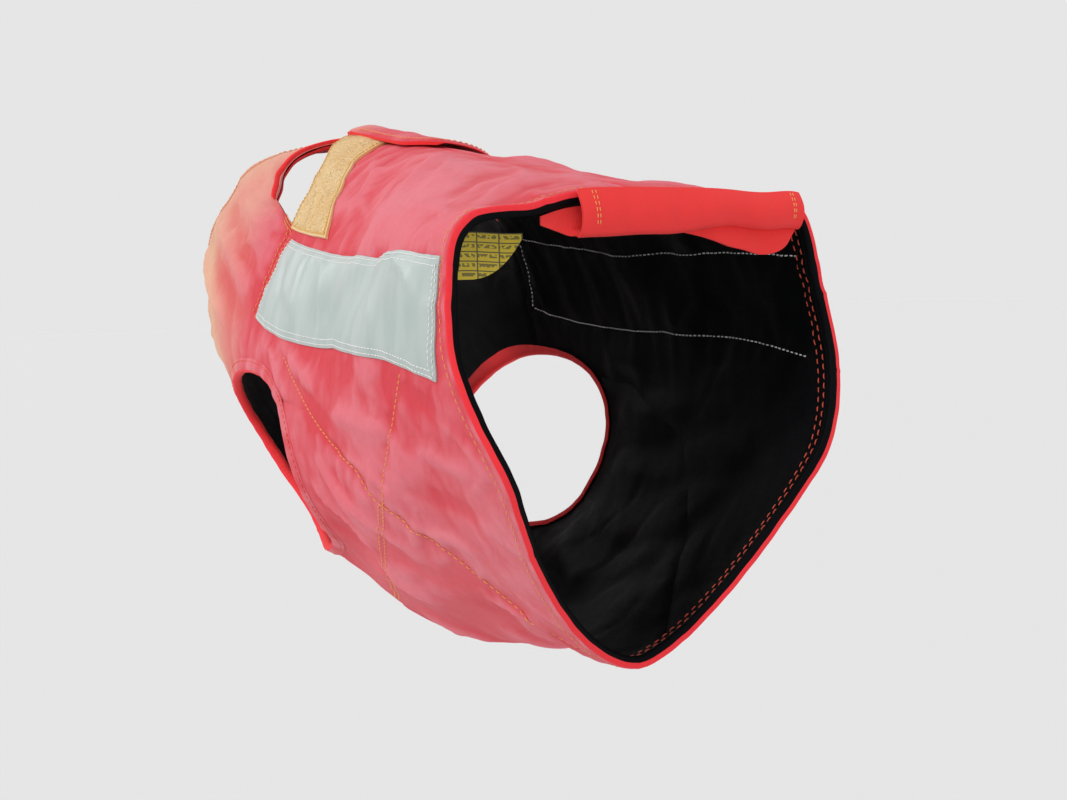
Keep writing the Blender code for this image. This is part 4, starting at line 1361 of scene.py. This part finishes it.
class VestColours(bpy.types.PropertyGroup):
    """Colours of the cloths and threads."""
    # The next two colours: the outer cloth with a painted highlight on its ridges, and with painted
    # shade in its creases; the cloth's height mixes them.
    ridge: tint("Ridge", "Outer cloth on its ridges", (0.80, 0.175, 0.215))
    painted_shade_red: tint("Trough", "Outer cloth down in its creases", (0.73, 0.060, 0.082))
    # Painted sheen, in paler patches laid at random.
    painted_sheen: tint("Pale", "Outer cloth where it has faded", (0.81, 0.33, 0.38))
    # Painted warm light on the shoulder, towards the neck.
    painted_warm_light: tint("Peach", "Outer cloth towards the neck", (0.80, 0.47, 0.32))
    lining: tint("Lining", "Padded lining", (0.0012, 0.0016, 0.0024))
    # Painted sheen on the lining, in random patches.
    lining_painted_sheen: tint("Lining light", "Lining where it is rubbed", (0.0030, 0.0037, 0.0048))
    binding: tint("Binding", "Leg bindings", (0.92, 0.040, 0.040))
    binding_dark: tint("Binding dark", "Between the binding's ribs", (0.80, 0.020, 0.028))
    edge: tint("Edge", "Turned edges", (0.86, 0.030, 0.050))
    flap: tint("Flap", "Flap at the tail", (0.82, 0.043, 0.043))
    tape: tint("Tape", "Reflective tape", (0.41, 0.48, 0.46))
    # Painted sheen, in streaks along the reflective tape.
    tape_painted_sheen: tint("Tape light", "Reflective tape on its ridges", (0.52, 0.57, 0.555))
    tape_rose: tint("Tape rose", "Cloth colour thrown back by the tape", (0.52, 0.46, 0.46))
    tape_dark: tint("Tape dark", "Between the tape's beads", (0.32, 0.40, 0.375))
    loop: tint("Loop", "Loop tape", (0.76, 0.48, 0.17))
    loop_light: tint("Loop light", "Loop tape, raised nap", (0.82, 0.60, 0.28))
    loop_dark: tint("Loop dark", "Loop tape, between its loops", (0.70, 0.40, 0.12))
    label: tint("Label", "Size label", (0.78, 0.58, 0.015))
    label_ink: tint("Label ink", "Print of the size label", (0.10, 0.09, 0.02))
    orange_thread: tint("Orange thread", "Topstitching", (0.90, 0.34, 0.10))
    white_thread: tint("White thread", "Sewing of the reflective tape", (0.92, 0.92, 0.90))
    red_thread: tint("Red thread", "Sewing along the hem", (0.80, 0.10, 0.05))
    yellow_thread: tint("Yellow thread", "Sewing of the loop tape", (0.85, 0.50, 0.07))
    floor: tint("Floor", "Floor and backdrop", (0.774, 0.774, 0.774))


class VestSizes(bpy.types.PropertyGroup):
    """Sizes of what is made here."""
    outer_net: bpy.props.FloatProperty(
        name="Outer net", description="Spacing of the outer cloth's points, in millimetres",
        default=2.7, min=2.0, max=12.0)
    lining_net: bpy.props.FloatProperty(
        name="Lining net", description="Spacing of the lining's points, in millimetres",
        default=4.0, min=2.0, max=12.0)
    stitch_pitch: bpy.props.FloatProperty(
        name="Stitch pitch", description="From one stitch to the next, in millimetres",
        default=3.6, min=2.0, max=8.0)
    nap: bpy.props.IntProperty(
        name="Nap", description="Tufts on the loop tape", default=9000, min=0, max=20000)


# ---------------------------------------------------------------- operators

class PieceOperator(bpy.types.Operator):
    """Base of the operators that make pieces."""
    bl_options = {"REGISTER", "UNDO"}

    @property
    def sizes(self):
        return bpy.context.scene.vest_sizes


class VEST_OT_stage(bpy.types.Operator):
    """Floor with a backdrop, soft lights and the camera"""
    bl_idname = "vest.stage"
    bl_label = "Stage"

    def execute(self, context):
        bpy.ops.object.select_all(action="DESELECT")
        bpy.ops.mesh.primitive_plane_add(size=1.0, location=(0, 0, 0))
        floor = context.object
        floor.name = "floor"
        bpy.ops.object.mode_set(mode="EDIT")
        bpy.ops.transform.resize(value=(FLOOR_SIZE, FLOOR_SIZE, 1.0))
        bpy.ops.transform.translate(value=(0, 0, FLOOR_LEVEL))
        bpy.ops.object.mode_set(mode="OBJECT")
        floor.data.materials.append(stage_finish(context.scene.vest_colours.floor))
        world = bpy.data.worlds.new("studio")
        world.use_nodes = True
        background = world.node_tree.nodes["Background"]
        background.inputs["Color"].default_value = (1.0, 1.0, 1.0, 1.0)
        background.inputs["Strength"].default_value = WORLD_STRENGTH
        context.scene.world = world
        context.scene.view_settings.view_transform = "Standard"
        for name, spot, spread, power in LAMPS:
            light = bpy.data.lights.new(name, "SUN")
            light.energy = power
            light.angle = math.radians(spread)
            lamp = bpy.data.objects.new(name, light)
            lamp.location = spot
            lamp.rotation_euler = Vector(spot).to_track_quat("Z", "Y").to_euler()
            context.scene.collection.objects.link(lamp)
        data = bpy.data.cameras.new("camera")
        data.lens = CAMERA_LENS
        data.sensor_width = CAMERA_SENSOR
        data.clip_start = 0.01
        camera = bpy.data.objects.new("camera", data)
        up = CAMERA_RIGHT.cross(CAMERA_FORWARD)
        turn = Matrix((CAMERA_RIGHT, up, -CAMERA_FORWARD)).transposed()
        camera.matrix_world = Matrix.Translation(CAMERA_AT) @ turn.to_4x4()
        context.scene.collection.objects.link(camera)
        context.scene.camera = camera
        return {"FINISHED"}


def marks_of(name):
    """Overlays that lie on a panel: name, outline and lifts."""
    if not name.startswith("back_"):
        return []
    side = 1 if name.endswith("left") else -1
    marks = [("reflective_" + name[5:], on_side(loop_of(REFLECTIVE), side), REFLECTIVE_LIFT)]
    if side > 0:
        marks.append(("loop_strip", loop_of(LOOP_STRIP), LOOP_LIFT))
    return marks


def edge_sink(places, outline, depth, width):
    """The turned edge of a cut piece, rolled down into its seam, deeper beyond it."""
    distance, _ = nearest(places, outline, True)
    beyond = ~inside(places, np.array(outline))
    within = -depth * np.exp(-(distance / width)**2)
    return np.where(beyond, -depth - distance * EDGE_SLOPE, within)


class VEST_OT_outer_cloth(PieceOperator):
    """Outer panels with the tapes that lie on them"""
    bl_idname = "vest.outer_cloth"
    bl_label = "Outer cloth"

    def execute(self, context):
        for name, outline in panels().items():
            marks = marks_of(name)
            places, faces = net(outline, [mark[1] for mark in marks], self.sizes.outer_net)
            top, normal = outer_face(places)
            detail = outer_detail(places)
            sink = np.maximum(edge_sink(places, outline, *OUTER_EDGE), -DEEPEST - detail)
            top += normal * sink[:, None]
            low = tube(places) + normal * (folds(places) - OUTER_CLOTH)[:, None]
            # The cloth's height, which the outer finish turns into painted shade in creases and
            # sunk seam edges and painted highlight on rises.
            crease = folds(places) * 0.5 + detail + sink
            piece = shell("cloth_" + name, places, faces, top, low, crease)
            piece.data.materials.append(finishes()["outer"])
            keep_sheet(piece, outline, "outer_cloth", name)
            middles = places[faces].mean(axis=1)
            for mark, loop, lift in marks:
                self.lay_tape(mark, loop, lift, places, faces[inside(middles, loop)])
        return {"FINISHED"}

    def lay_tape(self, mark, loop, lift, places, faces):
        """A tape on the cloth's own net, thinner at its edge."""
        used, faces = np.unique(faces, return_inverse=True)
        faces = faces.reshape(-1, 3)
        places = places[used]
        low, _ = outer_face(places, lift[0] - TAPE_ROOT)
        if mark == "loop_strip":
            (high, normal), look, slot = loop_face(places), "loop", "loop_tape"
        else:
            (high, normal), look, slot = outer_face(places, lift[1]), "tape", "reflective_tape"
        high += normal * edge_sink(places, loop, *TAPE_EDGE)[:, None]
        piece = shell("tape_" + mark, places, faces, high, low, outer_detail(places))
        piece.data.materials.append(finishes()[look])
        keep_sheet(piece, loop, slot, mark)


class VEST_OT_lining(PieceOperator):
    """Padded linings"""
    bl_idname = "vest.lining"
    bl_label = "Lining"

    def execute(self, context):
        for name, outline in panels().items():
            places, faces = net(outline, [], self.sizes.lining_net)
            low, inward = lining_face(places)
            normal = -inward
            detail = lining_detail(places)
            sink = np.maximum(edge_sink(places, outline, *LINING_EDGE), detail - LINING_ROOM)
            low -= normal * sink[:, None]
            top = tube(places) + normal * (folds(places) + LINING_TOP)[:, None]
            piece = shell("padding_" + name, places, faces, top, low, sink - detail)
            piece.data.materials.append(finishes()["lining"])
            keep_sheet(piece, outline, "lining_cloth", "lining_" + name)
        return {"FINISHED"}


def edge_path(outside, inside_part, width=1.0):
    """A path round the wall's edge, from the outer face to the lining's."""
    return ([(width * across, lift) for across, lift in outside]
            + [(width * across, LINING_LOW + lift) for across, lift in inside_part])


def thickened(path, thickness):
    """A path of (across, lift) and its way back, which lies one thickness to its side."""
    back = []
    for i, (across, lift) in enumerate(path):
        before, after = path[max(i - 1, 0)], path[min(i + 1, len(path) - 1)]
        run = Vector((after[0] - before[0], after[1] - before[1])).normalized()
        back.append((across - run.y * thickness, lift + run.x * thickness))
    return path + back[::-1]


def ripple_along(line, step):
    """Small unevenness of a folded tape along its length."""
    return waves(np.arange(len(line)) * step, RIPPLES)


class VEST_OT_bindings(PieceOperator):
    """Bindings of the leg holes, hem and neck"""
    bl_idname = "vest.bindings"
    bl_label = "Bindings"

    def execute(self, context):
        least, more, middle, spread = LEG_INSIDE
        for side, word in ((1, "left"), (-1, "right")):
            line, share = [], []
            for i in range(LEG_STEPS):
                turn = 360 * i / LEG_STEPS
                share.append(least + more * math.exp(-((turn - middle) / spread)**2))
                place, outer = leg_place(turn), leg_place(turn, 1.0)
                line.append((place * (1, side), unit((outer - place) * (1, side))))
            self.bind("leg_binding_" + word, line, LEG_BINDING, side, 2.0,
                      ("outer", "edge", "binding"), share)
        for name, table, forward, width, looks in (
                ("hem_binding", HEM, 1, HEM_BINDING, ("outer", "edge", "lining")),
                ("neck_binding", NECK, -1, NECK_BINDING, ("outer", "outer", "edge"))):
            line = []
            for i in range(EDGE_STEPS):
                girth = 2.0 * i / EDGE_STEPS
                along = through(table, min(girth, 2 - girth))[0]
                line.append((flat(along, girth), np.array((forward, 0.0))))
            self.bind(name, line, width, forward, 2.1, looks)
        return {"FINISHED"}

    def bind(self, name, line, width, hand, step, looks, share=None):
        """A binding. Its looks are those of its outside, its folded edge and its inside."""
        path = edge_path(WRAP_OUTSIDE, WRAP_INSIDE, width)
        profile = thickened(path, WRAP_CLOTH if width > NARROW else NARROW_CLOTH)
        ripple = np.repeat(ripple_along(line, step), len(profile))
        points, faces, places = carried(line, profile, ripple * 0.5, share)
        if hand > 0:
            faces = [f[::-1] for f in faces]
        # The ripple is kept as height, which the outer finish turns into painted shade and painted
        # highlight.
        piece = made("tape_" + name, points, faces, places, ripple * 3.0, sharp=70.0)
        for look in looks:
            piece.data.materials.append(finishes()[look])
        edge_from, inside_from = WRAP_FACES
        for polygon in piece.data.polygons:
            at = polygon.index % len(profile)
            outside = at < edge_from or at == len(profile) - 1
            polygon.material_index = 0 if outside else 1 + (at >= inside_from)
        spots = tube(np.array([place for place, _ in line + line[:1]]))
        keep_strip(piece, width * 2 + WRAP_TURN, float(run_of(spots)[-1]), "binding", name)


class VEST_OT_strap_facing(PieceOperator):
    """Red tape over the rear edge of the collar strap, wide on its inside"""
    bl_idname = "vest.strap_facing"
    bl_label = "Strap facing"

    def execute(self, context):
        end = STRAP_REAR[-1][0]
        line = [(place, np.array((1.0, 0.0))) for place in edge_line(STRAP_REAR, 0.0, end)]
        line = [(place * (1, -1), way) for place, way in line[:0:-1]] + line
        path = edge_path(FACING_OUTSIDE, FACING_INSIDE)
        profile = thickened(path, FACING_CLOTH)
        points, faces, places = carried(line, profile)
        size = len(profile)
        faces = faces[:-size]
        last = (len(line) - 1) * size
        for first in (0, last):
            faces += [(first + j, first + j + 1, first + size - 2 - j, first + size - 1 - j)
                      for j in range(len(path) - 1)]
        piece = made("strap_facing", points, faces, places, np.zeros(len(points)))
        turn_out(piece)
        piece.data.materials.append(finishes()["binding"])
        keep_strip(piece, FACING_WIDTH + FACING_TURN, 2 * end * HALF_GIRTH, "binding")
        return {"FINISHED"}


class VEST_OT_tongue(PieceOperator):
    """Tongue of the collar strap"""
    bl_idname = "vest.tongue"
    bl_label = "Tongue"

    def execute(self, context):
        outline = tongue_outline()
        places, faces = net(outline, [], self.sizes.outer_net)
        height = folds(places) + tongue_lift(places)
        sink = edge_sink(places, outline, *TONGUE_EDGE)
        puff = creased(places, TONGUE_CREASES)
        rest = np.where(wrapped(places[:, 1] / HALF_GIRTH) > 0.0, TONGUE_SKIRT, TONGUE_REST)
        low, _ = lifted(places, height + rest)
        high, _ = lifted(places, height + TONGUE_REST + TONGUE_CLOTH + sink + puff)
        # Puff and sunk edge are kept as height for the outer finish's painted shade and painted
        # highlight.
        piece = shell("strap_tongue", places, faces, high, low, puff * 2 + sink)
        piece.data.materials.append(finishes()["outer"])
        piece.data.materials.append(finishes()["binding"])
        for polygon in piece.data.polygons:
            polygon.material_index = int(polygon.index >= len(faces))
        keep_sheet(piece, outline, "outer_cloth", "collar_tongue")
        return {"FINISHED"}


def arc(centre, radius, turns, hand=1):
    """Points round a centre, by turns in degrees from the girth's way to the along's."""
    angles = [math.radians(turn) for turn in turns]
    return [centre + radius * np.array((hand * math.sin(a), hand * math.cos(a))) for a in angles]


def tongue_outline(within=0.0):
    """Outline of the tongue, or a line inside it."""
    middle = HALF_GIRTH * sum(TONGUE_GIRTH) / 2
    half = HALF_GIRTH * (TONGUE_GIRTH[1] - TONGUE_GIRTH[0]) / 2
    rear = arc(np.array((TONGUE_REAR + half, middle)), half - within, range(0, 181, 6), -1)
    start = np.array((TONGUE_END - within, middle - half + within))
    centre = np.array((TONGUE_END - TONGUE_CORNER, middle + half - TONGUE_CORNER))
    corner = arc(centre, TONGUE_CORNER - within, range(90, -1, -6))[::-1]
    return closed([start, rear[0]], rear, [rear[-1], corner[0]], corner, [corner[-1], start])


def tongue_lift(places):
    """How far the tongue stands off the cloth, most at its free side."""
    girth = wrapped(places[:, 1] / HALF_GIRTH)
    free = np.clip((girth - TONGUE_GIRTH[0]) / (TONGUE_GIRTH[1] - TONGUE_GIRTH[0]), 0, 1.2)
    run = np.clip((places[:, 0] - TONGUE_REAR) / (TONGUE_FRONT - TONGUE_REAR), 0, 1)
    return TONGUE_RISE * free**2 * np.sin(math.pi * run)


def tongue_face(places):
    """Positions and normals on the tongue."""
    return lifted(places, folds(places) + tongue_lift(places) + TONGUE_REST + TONGUE_CLOTH)


class VEST_OT_tail_flap(PieceOperator):
    """Flap turned down from the rear edge of the back, with the layer folded in behind it"""
    bl_idname = "vest.tail_flap"
    bl_label = "Tail flap"

    def execute(self, context):
        front = self.hang("flap_tail", 0.0, flap_front, FLAP_CLOTH, FLAP_STEPS)
        under = self.hang("flap_under", UNDER_START, flap_under, UNDER_CLOTH, UNDER_STEPS)
        keep_strip(front, FLAP_CUT, FLAP_LENGTH, "binding", "tail_flap")
        keep_strip(under, UNDER_CUT, FLAP_LENGTH * UNDER_LENGTH, "binding")
        return {"FINISHED"}

    def hang(self, name, start, section, thickness, steps):
        """A thin wall on a section that is read at each share of the flap's length."""
        middle = np.array([[section(start + (1 - start) * i / FLAP_SPANS, j / steps)
                            for j in range(steps + 1)] for i in range(FLAP_SPANS + 1)])
        normal = unit(np.cross(np.gradient(middle, axis=1), np.gradient(middle, axis=0)))
        sheets = [(middle + normal * half).reshape(-1, 3) for half in
                  (thickness / 2, -thickness / 2)]
        places = [(i * FLAP_CELL[0], j * FLAP_CELL[1])
                  for i in range(FLAP_SPANS + 1) for j in range(steps + 1)]
        piece = made(name, np.concatenate(sheets), slab(FLAP_SPANS + 1, steps + 1),
                     places + places, sharp=60.0)
        turn_out(piece)
        piece.data.materials.append(finishes()["flap"])
        return piece


@functools.lru_cache(maxsize=None)
def flap_edge(share):
    """Where the flap leaves the hem, in millimetres."""
    girth = FLAP_GIRTH[0] + (FLAP_GIRTH[1] - FLAP_GIRTH[0]) * share
    place = np.array([flat(through(HEM, abs(girth))[0], girth)])
    edge = (tube(place) + outward(place) * (folds(place) - 0.5)[:, None])[0]
    start, rise = FLAP_STRAIGHT
    edge[2] += rise * max(0.0, (share - start) / (1 - start))**2
    return tuple(edge)


def flap_front(share, fall):
    """The layer that shows: down from the hem, bulged, its foot turned forward."""
    drop = through(FLAP_FRONT, share)[0] + waves(share, FRONT_FOOT_WAVES)
    down = min(1.0, fall / FLAP_TURN)
    turned = max(0.0, fall / FLAP_TURN - 1.0) / FLAP_TURN_SPAN
    bulge = FLAP_BULGE * math.sin(math.pi * 0.8 * down) + waves(share, FRONT_WAVES) * down
    back = FLAP_BEHIND + bulge - FLAP_CURL * turned
    height, soon = FLAP_ROUND
    rounded = height * math.sin(math.pi * 0.5 * min(1, turned * soon))
    low = drop * down - FLAP_HEAD - FLAP_RISE * turned + rounded
    edge = flap_edge(share)
    return edge[0] - back, edge[1], edge[2] - low


def flap_under(share, fall):
    """The layer behind, which hangs lower on the right."""
    foot = through(FLAP_UNDER, share)[0] + waves(share, UNDER_FOOT_WAVES)
    head = min(UNDER_HEAD, foot - UNDER_LEAST)
    edge = flap_edge(share)
    most, start, span = UNDER_BACK
    back = most * max(0.0, min(1.0, (share - start) / span)) + waves(share, UNDER_WAVES)
    return edge[0] + UNDER_AHEAD - back * fall, edge[1], edge[2] - head - (foot - head) * fall


def flap_face(places):
    """Positions and normals on the flap: millimetres of its length, then its fall in tenths."""
    spots, normals = [], []
    for run, tenths in places:
        share, fall = run / FLAP_LENGTH, tenths / 10
        spot = np.array(flap_front(share, fall))
        ahead = np.array(flap_front(share + 0.01, fall)) - spot
        down = np.array(flap_front(share, fall + 0.01)) - spot
        normal = unit(np.cross(down, ahead))
        normal *= -np.sign(normal[0])
        spots.append(spot + normal * FLAP_CLOTH / 2)
        normals.append(normal)
    return np.array(spots), np.array(normals)


class VEST_OT_size_tab(PieceOperator):
    """Size label that stands in from the lining near the hem"""
    bl_idname = "vest.size_tab"
    bl_label = "Size label"

    def execute(self, context):
        half_girth = TAB_HEIGHT / 2 / HALF_GIRTH
        roots = np.array([flat(TAB_ALONG, TAB_GIRTH + turn) for turn in (-half_girth, half_girth)])
        ends = tube(roots) + outward(roots) * (folds(roots) + LINING_LOW - TAB_CLEAR)[:, None]
        root = Vector((ends[0] + ends[1]) / 2)
        along_wall = Vector(ends[0] - ends[1]).normalized()
        points, places = [], []
        round_from, power, round_height = TAB_ROUND
        half = TAB_HEIGHT / 2
        for face in (0.5, -0.5):
            for i in range(TAB_STEPS + 1):
                share = i / TAB_STEPS
                middle = root + Vector((-TAB_BOW * share**2, -TAB_REACH * share, 0.0))
                middle.z += 0.6 * math.sin(share * 5)
                up = along_wall.lerp(Vector((0, 0, 1)), min(1.0, share * 3)).normalized()
                cut_off = max(0.0, (share - round_from) / (1 - round_from))**power
                foot = round_height * cut_off - 1
                across = Vector((1.0, -0.4 * share, 0.0)).normalized() * TAB_CLOTH * face
                for j in range(TAB_ROWS + 1):
                    rise = foot + (1 - foot) * j / TAB_ROWS
                    points.append(tuple(middle + across + up * half * rise))
                    places.append((TAB_REACH * share, half * rise + half))
        faces = slab(TAB_STEPS + 1, TAB_ROWS + 1)
        piece = made("label_size", points, faces, places)
        turn_out(piece)
        piece.data.materials.append(finishes()["label"])
        keep_strip(piece, TAB_HEIGHT * TAB_SHOWN, TAB_REACH, "label", "size_tab")
        return {"FINISHED"}


class VEST_OT_nap(PieceOperator):
    """Nap of the loop tape"""
    bl_idname = "vest.nap"
    bl_label = "Nap"

    def execute(self, context):
        count = self.sizes.nap
        chance = np.random.default_rng(NAP_SEED)
        outline = inset(loop_of(LOOP_STRIP), NAP_INSET)
        low, high = np.min(outline, axis=0), np.max(outline, axis=0)
        spots = low + chance.random((count * 3, 2)) * (high - low)
        spots = spots[inside(spots, outline)][:count]
        base, normal = loop_face(spots, -0.1)
        lean = unit(chance.normal(0, NAP_LEAN, (len(spots), 3)) + normal)
        side = unit(np.cross(lean, chance.normal(0, 1, (len(spots), 3))))
        third = np.cross(lean, side)
        height = chance.uniform(*NAP_HEIGHT, len(spots))[:, None]
        corners = [base + side * NAP_THICK, base + (third * 0.87 - side * 0.5) * NAP_THICK,
                   base - (third * 0.87 + side * 0.5) * NAP_THICK, base + lean * height]
        points = np.stack(corners, axis=1).reshape(-1, 3)
        faces = []
        for i in range(len(spots)):
            a = 4 * i
            faces += [(a, a + 1, a + 3), (a + 1, a + 2, a + 3), (a + 2, a, a + 3),
                      (a, a + 2, a + 1)]
        piece = made("nap_loop_strip", points, faces, sharp=180.0)
        piece.data.materials.append(finishes()["loop"])
        keep(piece, "loop_tape")
        return {"FINISHED"}


def doubled(rows, gap):
    """Two lines, one at each side of a smooth curve."""
    line = np.array(smooth_line(rows))
    run = unit(np.gradient(line, axis=0))
    beside = np.stack((-run[:, 1], run[:, 0]), axis=1) * gap
    return [line + beside, line - beside]


class VEST_OT_sewing(PieceOperator):
    """Rows of stitches"""
    bl_idname = "vest.sewing"
    bl_label = "Sewing"

    def execute(self, context):
        pitch = self.sizes.stitch_pitch
        both = (1, -1)
        sewn_row("stitch_flank", [on_side(smooth_line(row), s) for s in both
                                  for row in (FLANK_ROW, FLANK_SECOND)],
                 outer_face, "orange_thread", 0.7, pitch=pitch)
        sewn_row("stitch_diagonal", [on_side(smooth_line(DIAGONAL_ROW), s) for s in both],
                 outer_face, "orange_thread", 0.7, pitch=pitch)
        sewn_row("stitch_shoulder", [on_side(list(line), s) for s in both
                                     for line in doubled(SHOULDER_SEAM, 2.6)],
                 outer_face, "orange_thread", 0.65, pitch=pitch)
        tape_top = functools.partial(outer_face, lift=REFLECTIVE_LIFT[1])
        for within, word in ((1.5, "outer"), (4.2, "inner")):
            sewn_row("stitch_tape_" + word,
                     [on_side(inset(loop_of(REFLECTIVE), within), s) for s in both],
                     tape_top, "white_thread", 0.5, 2.0, 2.7, joined=True)
        sewn_row("stitch_loop", [inset(loop_of(LOOP_STRIP), 1.6)], loop_face, "yellow_thread",
                 0.6, 2.2, 3.0, joined=True, lift=0.3)
        leg = [on_side(leg_line(0, 360, LEG_BINDING - 1.6, 180), s) for s in both]
        binding_top = functools.partial(outer_face, lift=0.65)
        sewn_row("stitch_leg", leg, binding_top, "red_thread", 0.55, pitch=pitch)
        neck = [edge_line(NECK, 0.0, 2.0, -(NECK_BINDING - 1.6), 160)]
        sewn_row("stitch_neck", neck, binding_top, "orange_thread", 0.55, pitch=pitch)
        hem = [edge_line(HEM, 0.0, 2.0, shift, 200) for shift in (7.0, 11.0)]
        sewn_row("stitch_hem_inside", hem, lining_face, "red_thread", 0.6, 3.0, 4.6)
        sewn_row("stitch_hem_outside", [edge_line(HEM, 0.0, 2.0, 7.5, 200)], outer_face,
                 "orange_thread", 0.5, pitch=pitch)
        corners = [flat(*row) for row in REFLECTIVE]
        bobbin = [on_side(line, s) for s in both
                  for line in (np.array(corners[:6]), np.array(corners[5:]))]
        sewn_row("stitch_tape_inside", bobbin, lining_face, "white_thread", 0.8, 2.3, 3.1)
        tack = [on_side([flat(288 - k, 0.243 + 0.004 * k), flat(276 - k, 0.252 + 0.004 * k)], s)
                for s in both for k in (0, 1.4, 2.8)]
        sewn_row("stitch_tack", tack, outer_face, "orange_thread", 0.6, 1.7, 1.9)
        sewn_row("stitch_tongue", [tongue_outline(2.4)], tongue_face, "orange_thread", 0.6,
                 pitch=pitch, joined=True)
        ends = [np.array([(run, 0.3), (run + lean, 6.8)]) for run, lean in
                ((6.5, 0.6), (8.3, 0.2), (FLAP_LENGTH - 4.6, -0.4), (FLAP_LENGTH - 6.2, 0.2))]
        sewn_row("stitch_flap", ends, flap_face, "orange_thread", 0.5, 2.0, 2.6)
        return {"FINISHED"}


class VEST_PT_pieces(bpy.types.Panel):
    """Lists the operators in the sidebar"""
    bl_label = "Dog vest"
    bl_idname = "VEST_PT_pieces"
    bl_space_type = "VIEW_3D"
    bl_region_type = "UI"
    bl_category = "Vest"

    def draw(self, context):
        for operator in STEPS:
            self.layout.operator(operator.bl_idname)
        for group in (context.scene.vest_sizes, context.scene.vest_colours):
            for key in group.__annotations__:
                self.layout.prop(group, key)


STEPS = (VEST_OT_stage, VEST_OT_outer_cloth, VEST_OT_lining, VEST_OT_bindings,
         VEST_OT_strap_facing, VEST_OT_tongue, VEST_OT_tail_flap, VEST_OT_size_tab,
         VEST_OT_nap, VEST_OT_sewing)
CLASSES = (VestColours, VestSizes, *STEPS, VEST_PT_pieces)


def register():
    for made_class in CLASSES:
        bpy.utils.register_class(made_class)
    bpy.types.Scene.vest_colours = bpy.props.PointerProperty(type=VestColours)
    bpy.types.Scene.vest_sizes = bpy.props.PointerProperty(type=VestSizes)


def unregister():
    del bpy.types.Scene.vest_sizes
    del bpy.types.Scene.vest_colours
    for made_class in reversed(CLASSES):
        bpy.utils.unregister_class(made_class)


def main():
    register()
    bpy.ops.vest.stage()
    bpy.ops.vest.outer_cloth()
    bpy.ops.vest.lining()
    bpy.ops.vest.bindings()
    bpy.ops.vest.strap_facing()
    bpy.ops.vest.tongue()
    bpy.ops.vest.tail_flap()
    bpy.ops.vest.size_tab()
    bpy.ops.vest.nap()
    bpy.ops.vest.sewing()


if __name__ == "__main__":
    main()
